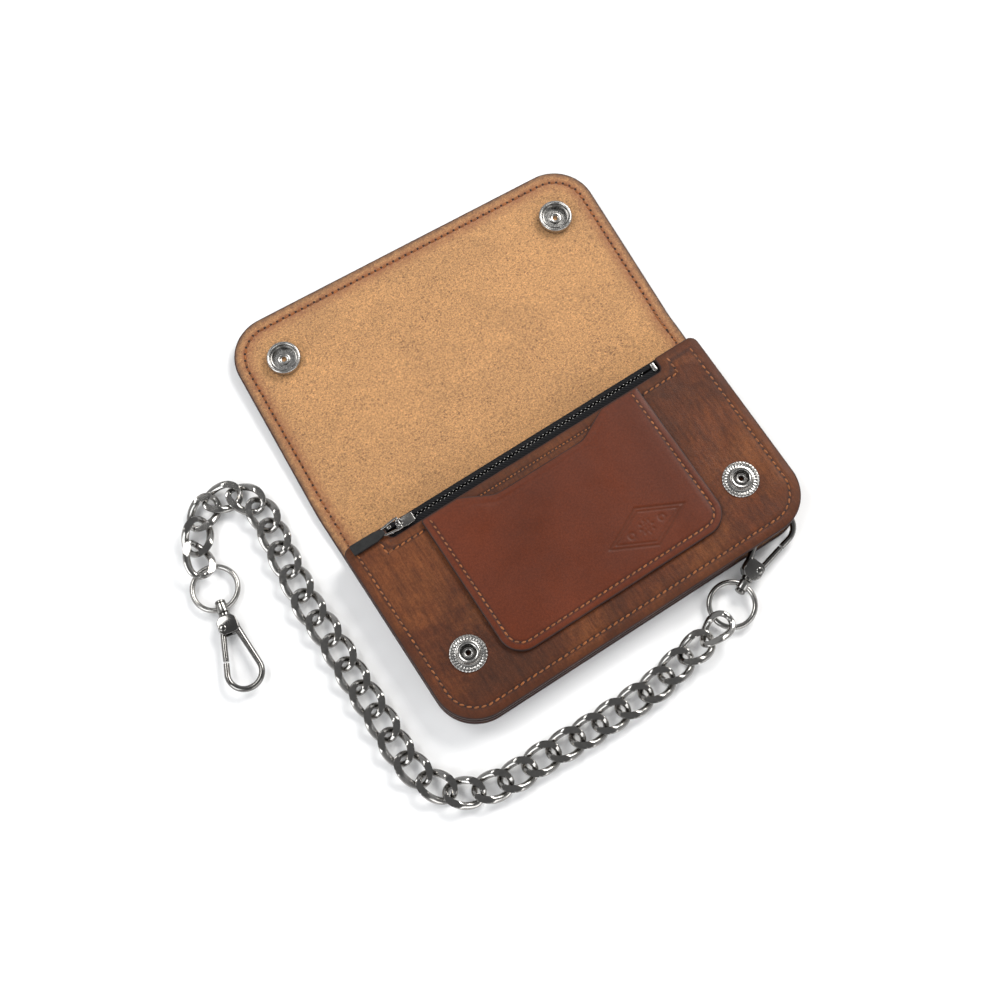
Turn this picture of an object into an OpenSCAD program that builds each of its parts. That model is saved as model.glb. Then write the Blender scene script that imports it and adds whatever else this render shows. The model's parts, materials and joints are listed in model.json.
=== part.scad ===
// Long chain wallet: a leather trucker wallet with a fold-over flap, two snaps,
// a zip pocket, a card pocket, and a curb chain with a swivel clip at each end.
// Millimetres. The wallet lies open on its back: X runs across it, Y towards the
// flap, Z up, and the origin is the middle of the back panel's underside.

/* [Wallet] */
// Width of the wallet's leather panels
wallet_w = 170; // [166:1:174]
// Height of the panels below the fold
wallet_h = 88; // [86:1:90]
// Radius of the two bottom corners
corner_r = 18; // [14:1:20]
// Thickness of the outer leather
leather_t = 2; // [1.8:0.1:2.2]
// Height of the front panel's face above the rest face
stack_t = 12; // [12:0.5:14]
// Width of the spacer welts between the layers
welt_w = 6; // [4:0.5:7]

/* [Flap] */
// Length of the spine strip between the two folds
spine_l = 16.5; // [16:0.5:18]
// Length of the flap beyond the second fold
flap_l = 84.5; // [82:0.5:86]
// Radius of the flap's two free corners
flap_r = 18; // [14:1:20]
// Upward tilt of the open flap, which rests on its snap caps
flap_tilt = 1.6; // [1.4:0.1:2.2]
// Turn of the open flap in its own plane, from the slack of the soft spine
flap_skew = -3.4; // [-4:0.1:0]

/* [Card pocket] */
// Width of the card pocket
pocket_w = 104; // [98:1:106]
// Thickness of the card pocket's leather
pocket_t = 1.8; // [1.4:0.1:2]
// Depth of the thumb notch in its top edge
thumb_depth = 7; // [4:0.5:9]

/* [Zip] */
// Width of the opening that shows the zip
zip_w = 131; // [120:1:134]
// Pitch of the metal teeth
tooth_pitch = 1.6; // [1.4:0.1:2]
// Length of the leatherette pull tab
tab_l = 15; // [10:1:16]

/* [Snaps] */
// Distance from the middle of the wallet to each snap
snap_x = 65; // [62:0.5:66]
// Distance of the snaps from the middle of the panel's height, downwards
snap_drop = 18; // [16:0.5:20]
// Radius of the stud's serrated flange
flange_r = 7.5; // [7:0.1:7.6]

/* [Chain and clips] */
// Wire diameter of the curb links
link_d = 2.5; // [2:0.1:2.5]
// Wire diameter of the swivel rings
ring_d = 2.2; // [2:0.1:2.2]
// Wire diameter of the clip bodies
clip_d = 2.5; // [2.2:0.1:2.5]

/* [Hidden] */
$fn = 48;

brown = "#6b3d28";
dark_brown = "#3c2018";
pocket_brown = "#64301f";
suede = "#c8966a";
thread_rust = "#be6030";
nickel = "#c9c8c4";
steel = "#a9a9aa";
tape_black = "#191919";

half_w = wallet_w / 2;
top_y = wallet_h / 2;
front_z = stack_t - leather_t;      // underside of the front panel
divider_z = 5;                      // underside of the divider
seam_inset = 5;
seam_w = 0.8;
seam_h = 0.3;

// Folds
fold_y = top_y + 1.5;
fold_z = leather_t / 2;
fold_gap = 1.5;

// Zip
zip_y = 41.3;                       // line along which the two rows meet
zip_half = zip_w / 2;
notch_y = 38;                       // bottom of the opening in the front panel
tape_t = 0.4;
tape_z = front_z - 0.5;
web_t = 0.5;
row_gap = 0.35;                     // clearance of each row from the slider's web
tooth_w = 1.3;
tooth_h = 1.7;
tooth_z = tape_z - 0.65;
slider_x = -57;
slider_l = 8;
slider_top = stack_t + 0.1;
plate_t = 0.9;
pull_z = stack_t + 1.3;
bail_x = slider_x - 2.5;
bail_l = 8;

// Snaps
snap_y = -snap_drop;
stud_ring_r = 4.6;
stud_bore_r = 2.8;
stud_top = stack_t + 3;
post_hole_r = 1.8;
socket_r = 7.2;
cavity_r = 5.6;
socket_h = 3.5;
cap_h = 1.8;
// where the sockets sit on the flap, measured from the second fold
socket_v = fold_y - snap_y;

// Clip bay in the lower right corner, where the layers part for the clip
bay_x = 46;
bay_y = -24;

// Chain: centres of the curb links on the surface, from the wallet's clip round
// to the free clip, chosen so that neighbouring centres are 9.5 to 11.5 apart
route = [[22.5, -62.5], [12, -64], [1.5, -65.5], [-9, -67.5], [-20, -68], [-31, -68],
         [-41.5, -68], [-52, -67.5], [-63, -67], [-74, -67], [-84.5, -65.5], [-95, -61.5],
         [-102.5, -53.5], [-106.5, -43], [-107.5, -32], [-107, -21], [-107, -10], [-107, 1],
         [-106.5, 12], [-106.5, 23.5], [-107, 34], [-106, 45], [-105, 56], [-103.5, 66.5],
         [-102.5, 77], [-105, 86.5], [-113, 92], [-122.5, 90.5], [-129.5, 83], [-134, 74.5]];
links = len(route);
link_a = 7.4;                       // half length of a link's centreline
link_b = 4.9;                       // half width
link_c = 1.8;                       // height of the curb twist
link_z = link_c + link_d / 2 + 0.15;
link_steps = 20;
link_sides = 6;

// Swivel rings and clips, each in its own frame: the ring's centre at the
// origin, the clip lying along +X with its loop in the XY plane
ring_r = 9.15;
boss_from = 7;
boss_to = 10.9;
boss_r = 2.4;
post_r = 1.2;
head_from = 12.6;
head_to = 20;
head_half_w = 4;
head_half_t = 2.4;
loop_x = 36.75;                     // centre of the loop's round end
loop_r = 6.85;
arm_from = [17, 2.6];
tangent_a = 102.6;                  // where the straight arm meets the round end
nose_x = 30.9;
pivot = [17.3, -2.2];
pin_r = 0.8;
knuckle_r = 2;
clip_left_at = [-134.5, 61.3, 2.1];
clip_left_heading = 258.5;
clip_left_pitch = 2.5;
clip_right_at = [34.5, -57.1, 3.2];
clip_right_heading = 25.8;
clip_right_pitch = 4.3;
clip_right_tilt = 18;

// D-ring and its leather tab
d_at = [65.8, -31.8, 5.5];
d_heading = 100;
d_wire_r = 0.8;
d_r = 5.6;
d_leg = 3.5;
tab_t = 1.2;
tab_half_w = 4;
tab_reach = 14;
tab_loop_z = 6;
rivet_back = 9.5;                   // rivet's distance behind the D-ring's bar

// ---- shared shapes ----

// A panel with two round corners at its low edge
module panel(w, y0, y1, r) {
    translate([-w / 2 + r, y0]) square([w - 2 * r, y1 - y0]);
    translate([-w / 2, y0 + r]) square([w, y1 - y0 - r]);
    for (s = [-1, 1]) translate([s * (w / 2 - r), y0 + r]) circle(r);
}

// A U-shaped strip that follows a panel's sides and low edge
module panel_strip(w, y0, y1, r, inset, width) {
    difference() {
        panel(w - 2 * inset, y0 + inset, y1, r - inset);
        panel(w - 2 * (inset + width), y0 + inset + width, y1 + 1, max(r - inset - width, 1));
    }
}

module rod(p, q, r) {
    d = q - p;
    len = norm(d);
    translate(p) rotate([0, acos(d[2] / len), atan2(d[1], d[0])]) cylinder(h = len, r = r);
}

module torus(R, r) {
    rotate_extrude() translate([R, 0]) circle(r, $fn = 24);
}

module annulus(r_out, r_in, h) {
    difference() {
        cylinder(h = h, r = r_out);
        translate([0, 0, -1]) cylinder(h = h + 2, r = r_in);
    }
}

// Puts the spine and flap at their open rest, hinged up about the first fold
module open_flap() {
    translate([0, fold_y, fold_z]) rotate([flap_tilt, 0, 0])
        translate([0, 0, -fold_z]) children();
}

// The flap's own frame: X across, Y from the second fold to the free edge
module flap_frame() {
    open_flap() translate([0, spine_l, 0]) rotate([0, 0, flap_skew]) children();
}

module at_snap(side) {
    translate([side * snap_x, snap_y, 0]) children();
}

module at_socket(side) {
    flap_frame() translate([side * snap_x, socket_v, 0]) children();
}

module clip_left_frame() {
    translate(clip_left_at) rotate([0, 0, clip_left_heading])
        rotate([0, -clip_left_pitch, 0]) children();
}

module clip_right_frame() {
    translate(clip_right_at) rotate([0, 0, clip_right_heading])
        rotate([0, -clip_right_pitch, 0]) rotate([clip_right_tilt, 0, 0]) children();
}

module clip_bay(from) {
    translate([bay_x - from, -top_y - 1]) square([half_w, bay_y + top_y + 1]);
}

// ---- leather ----

module back_panel() {
    color(brown) linear_extrude(leather_t) panel(wallet_w, -top_y, top_y, corner_r);
}

// The far edge follows the skewed fold, so the strip is a little longer at one end
module spine() {
    rise = tan(-flap_skew) * half_w;
    color(brown) open_flap() linear_extrude(leather_t)
        polygon([[-half_w + 0.5, 0], [half_w - 0.5, 0],
                 [half_w - 0.5, spine_l - rise - fold_gap / 2],
                 [-half_w + 0.5, spine_l + rise - fold_gap / 2]]);
}

module flap() {
    color(suede) flap_frame() difference() {
        linear_extrude(leather_t)
            rotate(180) panel(wallet_w - 1, -flap_l, -fold_gap, flap_r);
        for (s = [-1, 1]) translate([s * snap_x, socket_v, -1]) cylinder(h = 4, r = post_hole_r);
    }
}

module divider() {
    color(dark_brown) translate([0, 0, divider_z]) difference() {
        linear_extrude(leather_t) difference() {
            panel(wallet_w, -top_y, zip_y + 2, corner_r);
            clip_bay(0);
        }
        translate([tab_x(), tab_y(), -1]) cylinder(h = 4, r = 1.6);
    }
}

module front_panel() {
    color(brown) translate([0, 0, front_z]) difference() {
        linear_extrude(leather_t) difference() {
            panel(wallet_w, -top_y, top_y, corner_r);
            translate([-zip_half, notch_y]) square([zip_w, wallet_h]);
        }
        for (s = [-1, 1]) at_snap(s) translate([0, 0, -1]) cylinder(h = 4, r = post_hole_r);
    }
}

module card_pocket() {
    low = -30.3;
    high = 37.3;
    thumb_top = 34;
    thumb_low = 20;
    color(pocket_brown) translate([0, 0, stack_t]) linear_extrude(pocket_t) difference() {
        panel(pocket_w, low, high, 10);
        polygon([[-thumb_top, high + 1], [-thumb_low, high - thumb_depth],
                 [thumb_low, high - thumb_depth], [thumb_top, high + 1]]);
    }
}

module welt(z, from) {
    color(dark_brown) translate([0, 0, z]) linear_extrude(3) difference() {
        panel_strip(wallet_w, -top_y, notch_y - 2, corner_r, 0.8, welt_w);
        clip_bay(from);
    }
}

module rear_welt() { welt(leather_t, 6); }

module front_welt() { welt(divider_z + leather_t, 8); }

// ---- thread ----

module front_seam() {
    color(thread_rust) translate([0, 0, stack_t]) linear_extrude(seam_h)
        panel_strip(wallet_w, -top_y, top_y - 3, corner_r, seam_inset, seam_w);
}

module pocket_seam() {
    color(thread_rust) translate([0, 0, stack_t + pocket_t]) linear_extrude(seam_h)
        panel_strip(pocket_w, -30.3, 36, 10, 3.4, seam_w);
}

module zip_seam() {
    ear_x = zip_half + 4.5;
    low = notch_y - 5;
    color(thread_rust) translate([0, 0, stack_t]) linear_extrude(seam_h) {
        for (s = [-1, 1]) translate([s * ear_x - seam_w / 2, low]) square([seam_w, 8]);
        for (s = [-1, 1]) translate([s * (ear_x + pocket_w / 2 + 0.5) / 2, low + seam_w / 2])
            square([ear_x - pocket_w / 2 - 0.5 + seam_w, seam_w], center = true);
    }
}

module flap_seam() {
    color(thread_rust) flap_frame() translate([0, 0, leather_t]) linear_extrude(seam_h)
        rotate(180) panel_strip(wallet_w - 1, -flap_l, -fold_gap - 2, flap_r, 4.2, seam_w);
}

// ---- zip ----

front_row_y = zip_y - web_t / 2 - row_gap - tooth_w;
rear_row_y = zip_y + web_t / 2 + row_gap;

module tooth_row(y) {
    count = floor((zip_w - 8) / tooth_pitch);
    color(nickel) for (i = [0 : count - 1])
        translate([-zip_half + 4 + i * tooth_pitch, y, tooth_z])
            cube([tooth_pitch * 0.55, tooth_w, tooth_h]);
}

module zip_teeth_front() { tooth_row(front_row_y); }

module zip_teeth_rear() { tooth_row(rear_row_y); }

module zip_tape_front() {
    color(tape_black) translate([-zip_half - 6, notch_y - 6, tape_z])
        cube([zip_w + 12, front_row_y + 0.5 - notch_y + 6, tape_t]);
}

// The rear tape leaves its row, turns down and lies on the divider
module zip_tape_rear() {
    out = rear_row_y + tooth_w;
    color(tape_black) translate([-zip_half - 2, 0, 0]) {
        translate([0, out - 0.5, tape_z]) cube([zip_w + 4, 0.9 + tape_t, tape_t]);
        translate([0, out + 0.4, divider_z + leather_t])
            cube([zip_w + 4, tape_t, tape_z - divider_z - leather_t]);
        translate([0, notch_y - 6, divider_z + leather_t])
            cube([zip_w + 4, out + 0.4 + tape_t - notch_y + 6, tape_t]);
    }
}

// The edges of both tapes, which the stops are clamped on
module tape_edges() {
    for (y = [front_row_y - 1, rear_row_y + tooth_w - 0.5])
        translate([-zip_half, y, tape_z]) cube([zip_w, 1.5, tape_t]);
}

module zip_top_stops() {
    color(nickel) difference() {
        for (y = [front_row_y, rear_row_y])
            translate([-zip_half + 0.8, y, tooth_z - 0.2]) cube([2, tooth_w, tooth_h + 0.4]);
        tape_edges();
    }
}

module zip_bottom_stop() {
    color(nickel) difference() {
        translate([zip_half - 2.8, front_row_y, tooth_z - 0.2])
            cube([2, rear_row_y + tooth_w - front_row_y, tooth_h + 0.4]);
        tape_edges();
    }
}

// Top and bottom plates joined by a thin web that runs between the rows
module zip_slider() {
    low = tooth_z - 0.35 - plate_t;
    color(nickel) translate([slider_x, 0, 0]) {
        for (z = [low, slider_top - plate_t]) translate([-slider_l / 2, front_row_y - 0.6, z])
            cube([slider_l, rear_row_y + tooth_w - front_row_y + 0.6, plate_t]);
        translate([-slider_l / 2, zip_y - web_t / 2, low]) cube([3, web_t, slider_top - low]);
        difference() {
            for (s = [-1, 1]) translate([bail_x - slider_x - 1.2, zip_y + s * 1.1 - 0.4,
                                         slider_top]) cube([2.4, 0.8, 2]);
            translate([bail_x - slider_x, zip_y, pull_z]) rotate([90, 0, 0])
                cylinder(h = 6, r = 0.5, center = true);
        }
    }
}

// Wire bail: a cross pin held by the slider's lugs, and two legs outside them
module zip_bail() {
    color(nickel) {
        translate([bail_x, zip_y, pull_z]) rotate([90, 0, 0])
            cylinder(h = 5, r = 0.45, center = true);
        for (s = [-1, 1]) rod([bail_x, zip_y + s * 2.25, pull_z],
                              [bail_x - bail_l, zip_y + s * 2.25, pull_z], 0.45);
    }
}

module zip_pull_tab() {
    color(tape_black) difference() {
        translate([bail_x - bail_l + 1 - tab_l, zip_y - 2.4, pull_z - 0.8])
            cube([tab_l, 4.8, 1.6]);
        for (s = [-1, 1]) translate([bail_x - bail_l - 1, zip_y + s * 2.25, pull_z])
            rotate([0, 90, 0]) cylinder(h = 4, r = 0.45);
    }
}

// ---- snaps ----

module stud(side) {
    color(nickel) at_snap(side) translate([0, 0, stack_t]) {
        annulus(flange_r, stud_bore_r, 0.8);
        translate([0, 0, 0.8]) annulus(stud_ring_r, stud_bore_r, stud_top - stack_t - 0.8);
    }
}

// Eyelet that comes up through the front panel and is rolled inside the stud
module stud_post(side) {
    color(steel) at_snap(side) {
        translate([0, 0, front_z - 0.7]) annulus(5, 1.1, 0.7);
        translate([0, 0, front_z]) annulus(post_hole_r - 0.05, 1.1, 4.2);
        translate([0, 0, stack_t]) annulus(stud_bore_r - 0.05, post_hole_r - 0.1, 0.6);
    }
}

module socket(side) {
    color(nickel) at_socket(side) translate([0, 0, leather_t]) {
        annulus(socket_r, 1.9, 0.7);
        translate([0, 0, 0.7]) annulus(socket_r, cavity_r, socket_h - 0.7);
    }
}

module socket_spring(side) {
    color(steel) at_socket(side) translate([0, 0, leather_t + 2.4]) torus(5.2, 0.35);
}

// Domed cap on the outer face, with its post through the flap
module snap_cap(side) {
    color(nickel) at_socket(side) {
        rotate_extrude() polygon([[0, -cap_h], [4.5, -cap_h], [6.6, -cap_h + 0.5],
                                  [7.4, -0.5], [7.4, 0], [0, 0]]);
        annulus(post_hole_r - 0.05, 1, leather_t + 0.7);
        translate([0, 0, leather_t + 0.7]) annulus(2.4, 1, 0.4);
    }
}

module stud_left() { stud(-1); }
module stud_right() { stud(1); }
module stud_post_left() { stud_post(-1); }
module stud_post_right() { stud_post(1); }
module socket_left() { socket(-1); }
module socket_right() { socket(1); }
module socket_spring_left() { socket_spring(-1); }
module socket_spring_right() { socket_spring(1); }
module snap_cap_left() { snap_cap(-1); }
module snap_cap_right() { snap_cap(1); }

// ---- D-ring and tab ----

function tab_x() = d_at[0] + cos(d_heading) * (d_leg + rivet_back);
function tab_y() = d_at[1] + sin(d_heading) * (d_leg + rivet_back);

module d_frame() {
    translate([d_at[0], d_at[1], 0]) rotate([0, 0, d_heading]) children();
}

module d_ring() {
    color(nickel) translate(d_at) rotate([0, 0, d_heading]) {
        rotate([0, 0, 90]) rotate_extrude(angle = 180) translate([d_r, 0]) circle(d_wire_r, $fn = 24);
        for (s = [-1, 1]) {
            rod([0, s * d_r, 0], [d_leg, s * d_r, 0], d_wire_r);
            translate([d_leg, s * d_r, 0]) sphere(d_wire_r, $fn = 24);
        }
        rod([d_leg, -d_r, 0], [d_leg, d_r, 0], d_wire_r);
    }
}

// Strap folded round the D-ring's bar, its two ends riveted to the divider
module chain_tab() {
    inner = 1.5;
    color(pocket_brown) d_frame() difference() {
        union() {
            translate([d_leg, 0, tab_loop_z]) rotate([90, 0, 0])
                cylinder(h = 2 * tab_half_w, r = inner + tab_t, center = true);
            for (z = [tab_loop_z - inner - tab_t, tab_loop_z + inner])
                translate([d_leg, -tab_half_w, z]) cube([tab_reach, 2 * tab_half_w, tab_t]);
        }
        translate([d_leg, 0, tab_loop_z]) rotate([90, 0, 0])
            cylinder(h = 2 * tab_half_w + 2, r = inner, center = true);
        translate([d_leg, -tab_half_w - 1, tab_loop_z - inner])
            cube([tab_reach + 1, 2 * tab_half_w + 2, 2 * inner]);
        translate([d_leg + rivet_back, 0, 0]) cylinder(h = 12, r = 1.6);
    }
}

module tab_rivet() {
    color(steel) translate([tab_x(), tab_y(), 0]) {
        translate([0, 0, 2.5]) cylinder(h = 0.8, r = 3);
        translate([0, 0, 2.5]) cylinder(h = 6.7, r = 1.5);
        translate([0, 0, 8.7]) cylinder(h = 0.5, r = 3);
    }
}

// ---- chain ----

function heading(i) = let (a = route[max(i - 1, 0)], b = route[min(i + 1, links - 1)])
    atan2(b[1] - a[1], b[0] - a[0]);

// A point of a curb link's twisted centreline, in the link's own frame
function curb(t) = [link_a * cos(t), link_b * sin(t), link_c * sin(2 * t)];

function unit(v) = v / norm(v);

// One vertex of the wire: ring s, side k
function wire_point(s, k) =
    let (t = 360 * s / link_steps, p = curb(t),
         along = unit(curb(t + 1) - curb(t - 1)),
         out = unit(cross(along, [0, 0, 1])), up = cross(out, along),
         a = 360 * k / link_sides)
    p + link_d / 2 * (cos(a) * out + sin(a) * up);

module curb_link() {
    n = link_steps;
    m = link_sides;
    polyhedron(points = [for (s = [0 : n - 1]) for (k = [0 : m - 1]) wire_point(s, k)],
               faces = [for (s = [0 : n - 1]) for (k = [0 : m - 1])
                        let (s2 = (s + 1) % n, k2 = (k + 1) % m)
                        [s * m + k, s * m + k2, s2 * m + k2, s2 * m + k]],
               convexity = 4);
}

// The end links stand tilted so that they pass through the flat rings
function tilt_of(i) = i == 0 ? 30 : i == 1 ? 10 : i == links - 2 ? -10 : i == links - 1 ? -30 : 0;
function raise_of(i) = i == 0 ? 3 : i == 1 ? 1.4 : i == links - 2 ? 0.7 : i == links - 1 ? 2 : 0;
function turn_of(i) = i == 0 ? 10 : i == links - 1 ? 20 : 0;

module chain(from, to) {
    color(nickel) for (i = [from : to])
        translate([route[i][0], route[i][1], link_z + raise_of(i)])
            rotate([0, 0, heading(i) + turn_of(i)]) rotate([tilt_of(i), 0, 0]) curb_link();
}

module chain_right() { chain(0, 9); }
module chain_middle() { chain(10, 19); }
module chain_left() { chain(20, links - 1); }

// ---- rings and clips ----

module swivel_ring() {
    color(nickel) difference() {
        union() {
            torus(ring_r, ring_d / 2);
            translate([boss_from, 0, 0]) rotate([0, 90, 0]) cylinder(h = boss_to - boss_from, r = boss_r);
        }
        translate([boss_from - 3, 0, 0]) rotate([0, 90, 0]) cylinder(h = 10, r = post_r + 0.1);
    }
}

// Headed post that lets the clip spin in the ring
module swivel_post() {
    color(steel) rotate([0, 90, 0]) {
        translate([0, 0, boss_from - 1.6]) cylinder(h = 1.4, r = 2.1);
        translate([0, 0, boss_from - 1.6]) cylinder(h = head_from - boss_from + 1.6, r = post_r);
        translate([0, 0, boss_to + 0.3]) cylinder(h = head_from - boss_to - 0.3, r = 2.3);
    }
}

module clip_body() {
    w = clip_d / 2;
    tangent = [loop_x + loop_r * cos(tangent_a), loop_r * sin(tangent_a), 0];
    nose = [nose_x, -loop_r + (tangent[0] - nose_x) * tan(tangent_a - 90) + 0.15, 0];
    color(nickel) difference() {
        union() {
            translate([head_from, -head_half_w, -head_half_t])
                cube([head_to - head_from, 2 * head_half_w, 2 * head_half_t]);
            rod([arm_from[0], arm_from[1], 0], tangent, w);
            translate([loop_x, 0, 0]) rotate([0, 0, -tangent_a])
                rotate_extrude(angle = 2 * tangent_a) translate([loop_r, 0]) circle(w, $fn = 24);
            rod([tangent[0], -tangent[1], 0], nose, w);
        }
        translate([pivot[0] - 2.4, -head_half_w - 1, -1.6])
            cube([head_to - pivot[0] + 3, head_half_w + 1 + 0.1, 3.2]);
        translate([pivot[0], pivot[1], 0]) cylinder(h = 8, r = pin_r, center = true);
    }
}

// Sprung gate: a knuckle on the pin and a bar that closes against the nose
module gate() {
    end = [nose_x - 0.4, -5.55, 0];
    from = [pivot[0], pivot[1] - 0.35, 0];
    color(nickel) difference() {
        union() {
            translate([pivot[0], pivot[1], -1.4]) cylinder(h = 1.9, r = knuckle_r);
            intersection() {
                rod(from, end, clip_d / 2 - 0.05);
                translate([pivot[0], -10, -1.4]) cube([30, 12, 2.8]);
            }
        }
        translate([pivot[0], pivot[1], 0]) cylinder(h = 8, r = pin_r + 0.05, center = true);
        translate([pivot[0], pivot[1], 0.5]) cylinder(h = 3, r = knuckle_r + 0.2);
    }
}

module gate_pin() {
    color(steel) translate([pivot[0], pivot[1], 0])
        cylinder(h = 2 * head_half_t, r = pin_r, center = true);
}

// Two close turns of spring wire round the pin
module gate_spring() {
    color(steel) translate([pivot[0], pivot[1], 0]) for (z = [0.82, 1.27])
        translate([0, 0, z]) torus(1.25, 0.24);
}

module ring_left() { clip_left_frame() swivel_ring(); }
module clip_left() { clip_left_frame() clip_body(); }
module post_left() { clip_left_frame() swivel_post(); }
module gate_left() { clip_left_frame() gate(); }
module gate_pin_left() { clip_left_frame() gate_pin(); }
module gate_spring_left() { clip_left_frame() gate_spring(); }
module ring_right() {
    translate(clip_right_at) rotate([0, 0, clip_right_heading])
        rotate([0, -clip_right_pitch, 0]) swivel_ring();
}
module clip_right() { clip_right_frame() clip_body(); }
module post_right() { clip_right_frame() swivel_post(); }
module gate_right() { clip_right_frame() gate(); }
module gate_pin_right() { clip_right_frame() gate_pin(); }
module gate_spring_right() { clip_right_frame() gate_spring(); }

back_panel();
spine();
flap();
divider();
front_panel();
card_pocket();
rear_welt();
front_welt();
front_seam();
pocket_seam();
zip_seam();
flap_seam();
zip_tape_front();
zip_tape_rear();
zip_teeth_front();
zip_teeth_rear();
zip_top_stops();
zip_bottom_stop();
zip_slider();
zip_bail();
zip_pull_tab();
stud_left();
stud_right();
stud_post_left();
stud_post_right();
socket_left();
socket_right();
socket_spring_left();
socket_spring_right();
snap_cap_left();
snap_cap_right();
chain_tab();
tab_rivet();
d_ring();
chain_right();
chain_middle();
chain_left();
ring_left();
clip_left();
post_left();
gate_left();
gate_pin_left();
gate_spring_left();
ring_right();
clip_right();
post_right();
gate_right();
gate_pin_right();
gate_spring_right();
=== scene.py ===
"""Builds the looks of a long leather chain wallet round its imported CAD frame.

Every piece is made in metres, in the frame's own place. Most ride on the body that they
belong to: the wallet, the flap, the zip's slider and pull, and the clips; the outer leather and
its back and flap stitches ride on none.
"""

import json
import math
import random

import bmesh
import bpy
import numpy as np
from bpy.props import FloatProperty, FloatVectorProperty, IntProperty, PointerProperty
from mathutils import Matrix, Vector


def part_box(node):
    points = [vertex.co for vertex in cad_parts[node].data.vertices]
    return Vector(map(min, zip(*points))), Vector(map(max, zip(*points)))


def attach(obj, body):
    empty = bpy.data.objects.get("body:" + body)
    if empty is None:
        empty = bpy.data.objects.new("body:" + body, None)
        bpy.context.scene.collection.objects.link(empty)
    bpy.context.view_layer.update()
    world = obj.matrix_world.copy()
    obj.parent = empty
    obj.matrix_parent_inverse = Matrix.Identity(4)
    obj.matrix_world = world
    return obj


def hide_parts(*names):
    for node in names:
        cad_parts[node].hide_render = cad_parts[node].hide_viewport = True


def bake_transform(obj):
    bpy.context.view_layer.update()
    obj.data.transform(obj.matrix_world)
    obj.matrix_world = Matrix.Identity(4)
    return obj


bl_info = {
    "name": "Chain Wallet",
    "version": (1, 0, 0),
    "blender": (4, 5, 0),
    "location": "3D View > Sidebar > Chain Wallet",
    "description": "Leather, stitching, zip, snaps, curb chain and clips of a long wallet",
    "category": "Add Mesh",
}

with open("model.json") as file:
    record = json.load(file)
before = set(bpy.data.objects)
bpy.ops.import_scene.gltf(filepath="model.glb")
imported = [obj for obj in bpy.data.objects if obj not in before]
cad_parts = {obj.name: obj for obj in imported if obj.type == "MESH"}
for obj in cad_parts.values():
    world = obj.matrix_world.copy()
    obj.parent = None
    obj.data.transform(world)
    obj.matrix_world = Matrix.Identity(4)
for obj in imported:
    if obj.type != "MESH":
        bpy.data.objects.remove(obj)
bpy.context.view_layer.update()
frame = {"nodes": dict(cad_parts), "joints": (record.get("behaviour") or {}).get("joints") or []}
JOINTS = {joint["name"]: joint for joint in frame["joints"]}
MM = 0.001

# ---- places: from the frame, or the wallet's own cutting sizes ----

BACK_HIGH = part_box("back_panel")[1]
FRONT_LOW, FRONT_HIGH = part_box("front_panel")
POCKET_LOW, POCKET_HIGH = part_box("card_pocket")
DIVIDER_LOW, DIVIDER_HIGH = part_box("divider")
FOLD_1 = Vector(JOINTS["spine_fold"]["pos_m"])
FOLD_2 = Vector(JOINTS["flap_fold"]["pos_m"])
SPINE = (FOLD_2 - FOLD_1).length
TILT = math.atan2(FOLD_2.z - FOLD_1.z, FOLD_2.y - FOLD_1.y)
FOLD_2_AXIS = Matrix.Rotation(-TILT, 3, "X") @ Vector(JOINTS["flap_fold"]["axis"])
SKEW = 2 * math.atan2(FOLD_2_AXIS.y, FOLD_2_AXIS.x)
HALF_W = BACK_HIGH.x
TOP_Y = BACK_HIGH.y
LEATHER = BACK_HIGH.z
CORNER = 18 * MM  # radius of the wallet's round corners
FLAP_END = 84.5 * MM  # from the flap's fold to its free edge
FLAP_NARROWER = 0.5 * MM  # how much narrower the flap is at each side of its free edge
NOTCH_X, NOTCH_Y = 65.5 * MM, 38 * MM  # the zip's opening in the front panel
POCKET_SEAM = 3.4 * MM  # distance of the card pocket's seam from its edge
SEAM_REACH = 10.0  # mm from the seam within which its distance is stored
SNAP_X, SNAP_V = 65 * MM, 63.5 * MM  # a socket's place in the flap, from its fold
STUD_Y = -18 * MM  # a stud's place on the front panel
LIFT_END = 8 * MM  # how far beyond the first fold the open leather has its full slope
SKEW_HALF = 9 * MM  # how far to each side of the second fold its skew comes in
BAY_X, BAY_Y = 46 * MM, -24 * MM  # the corner of the bay that the right clip lies in
CLIP_BASE = 17.3 * MM  # from the ring's centre to the gate's pin, along a clip
CLIP_SIDE = 2.2 * MM  # and across it
ZIP_Y = JOINTS["pull_swing"]["pos_m"][1]
TEETH_Z = sum(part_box("zip_teeth_front")[i].z for i in (0, 1)) / 2
OPEN_FLAP = Matrix.Translation(FOLD_1) @ Matrix.Rotation(TILT, 4, "X")
FLAP = OPEN_FLAP @ Matrix.Translation((0, SPINE, 0)) @ Matrix.Rotation(SKEW, 4, "Z")


# ---- sizes and colours that a user would change ----


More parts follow.
